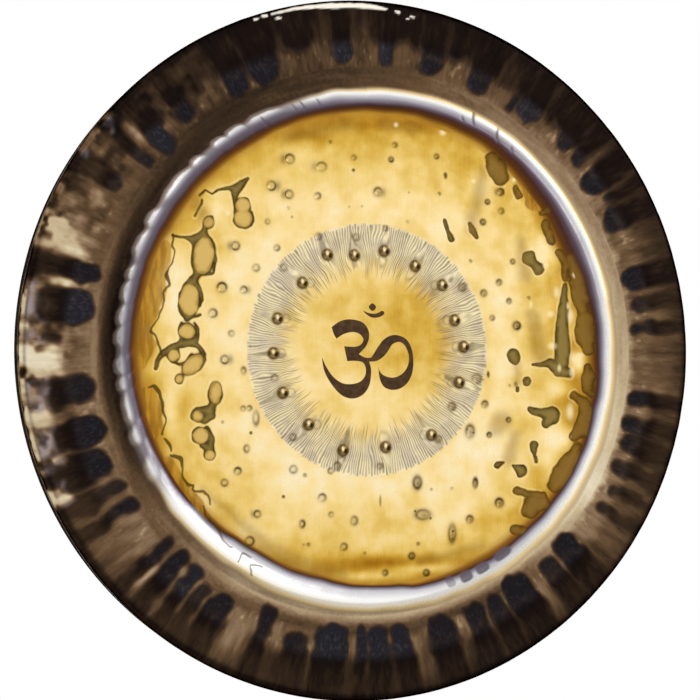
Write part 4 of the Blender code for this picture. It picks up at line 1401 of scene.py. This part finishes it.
def make_world():
    """White where the camera or a reflection looks, and a plain grey light on all else."""
    world = bpy.data.worlds.new("studio")
    bpy.context.scene.world = world
    world.use_nodes = True
    tree = world.node_tree
    tree.nodes.clear()
    path = add(tree, "ShaderNodeLightPath")
    seen = calculate(tree, "MAXIMUM", path.outputs["Is Camera Ray"], path.outputs["Is Glossy Ray"])
    seen = calculate(tree, "MAXIMUM", seen, path.outputs["Is Transmission Ray"])
    colour = linear("#ffffff")
    plain = add(tree, "ShaderNodeBackground", {"Color": colour, "Strength": AMBIENT_STRENGTH}).outputs[0]
    white = add(tree, "ShaderNodeBackground", {"Color": colour, "Strength": 1.0}).outputs[0]
    both = add(tree, "ShaderNodeMixShader", {0: seen, 1: plain, 2: white}).outputs[0]
    add(tree, "ShaderNodeOutputWorld", {"Surface": both})


def make_card(name, material_name, points, faces):
    """A mesh of the studio whose material has no nodes yet: the object and the material's tree."""
    mesh = bpy.data.meshes.new(name)
    mesh.from_pydata(points, [], faces)
    material = bpy.data.materials.new(material_name)
    material.use_nodes = True
    material.node_tree.nodes.clear()
    mesh.materials.append(material)
    return put_in_scene(name, mesh), material.node_tree


def make_floor():
    """A white floor whose colour runs out into the white all round it before its edge."""
    turns = np.arange(FLOOR_SIDES) * 2 * math.pi / FLOOR_SIDES
    ring = [(FLOOR_RADIUS * math.cos(turn), FLOOR_RADIUS * math.sin(turn), FLOOR_Z) for turn in turns]
    floor, tree = make_card("floor", "white_floor", ring, [list(range(FLOOR_SIDES))])
    place = add(tree, "ShaderNodeTexCoord").outputs["Object"]
    flat = add(tree, "ShaderNodeVectorMath", {0: place, 1: (1, 1, 0)}, operation="MULTIPLY").outputs[0]
    reach = add(tree, "ShaderNodeVectorMath", {0: flat}, operation="LENGTH").outputs["Value"]
    path = add(tree, "ShaderNodeLightPath")
    seen = calculate(tree, "MAXIMUM", path.outputs["Is Camera Ray"], path.outputs["Is Glossy Ray"])
    edge = calculate(tree, "MULTIPLY", spread(tree, reach, FLOOR_FADE_START, FLOOR_FADE_END), seen)
    matt = add(tree, "ShaderNodeBsdfDiffuse", {"Color": linear("#f6f6f6")}).outputs[0]
    white = add(tree, "ShaderNodeEmission", {"Strength": 1.0}).outputs[0]
    surface = add(tree, "ShaderNodeMixShader", {0: edge, 1: matt, 2: white}).outputs[0]
    add(tree, "ShaderNodeOutputMaterial", {"Surface": surface})


def make_flag(name, start, end, radius, darkness):
    """A tall curved dark card that only reflections see, between two angles from the front. Its ends fade."""
    angles = np.radians(np.linspace(start, end, FLAG_STEPS + 1))
    x, y = radius * np.sin(angles), -radius * np.cos(angles)
    points = [(*place, height) for height in (FLOOR_Z + 0.01, FLAG_TOP) for place in zip(x, y)]
    faces = [(i, i + 1, FLAG_STEPS + 2 + i, FLAG_STEPS + 1 + i) for i in range(FLAG_STEPS)]
    flag, tree = make_card(name, name, points, faces)
    share = np.tile(np.linspace(0, 1, FLAG_STEPS + 1), 2).astype(np.float32)
    flag.data.attributes.new("share", "FLOAT", "POINT").data.foreach_set("value", share)
    along = painted(tree, "share")
    fade_in = spread(tree, along, 0.0, FLAG_FADE_IN, 0.0, darkness)
    fade_out = spread(tree, along, 1.0, FLAG_FADE_OUT)
    clear = add(tree, "ShaderNodeBsdfTransparent").outputs[0]
    black = add(tree, "ShaderNodeEmission", {"Color": linear("#14110d"), "Strength": 1.0}).outputs[0]
    cover = calculate(tree, "MULTIPLY", fade_in, fade_out)
    surface = add(tree, "ShaderNodeMixShader", {0: cover, 1: clear, 2: black}).outputs[0]
    add(tree, "ShaderNodeOutputMaterial", {"Surface": surface})
    flag.visible_camera = False
    flag.visible_diffuse = False
    flag.visible_shadow = False


def make_studio():
    """Plain soft light: softboxes at the left, right and back, and a dark card for the metal to show."""
    make_world()
    make_floor()
    make_lamp("softbox_left", (-2.2, -2.4, 2.2), 14)
    make_lamp("softbox_right", (2.4, -2.0, 1.4), 8)
    make_lamp("softbox_back", (0.6, 2.8, 2.0), 18)
    make_flag("flag_left", -26, -80, 2.6, 0.6)


make_camera()
make_gong()
make_studio()
bpy.context.scene.view_settings.view_transform = "Standard"
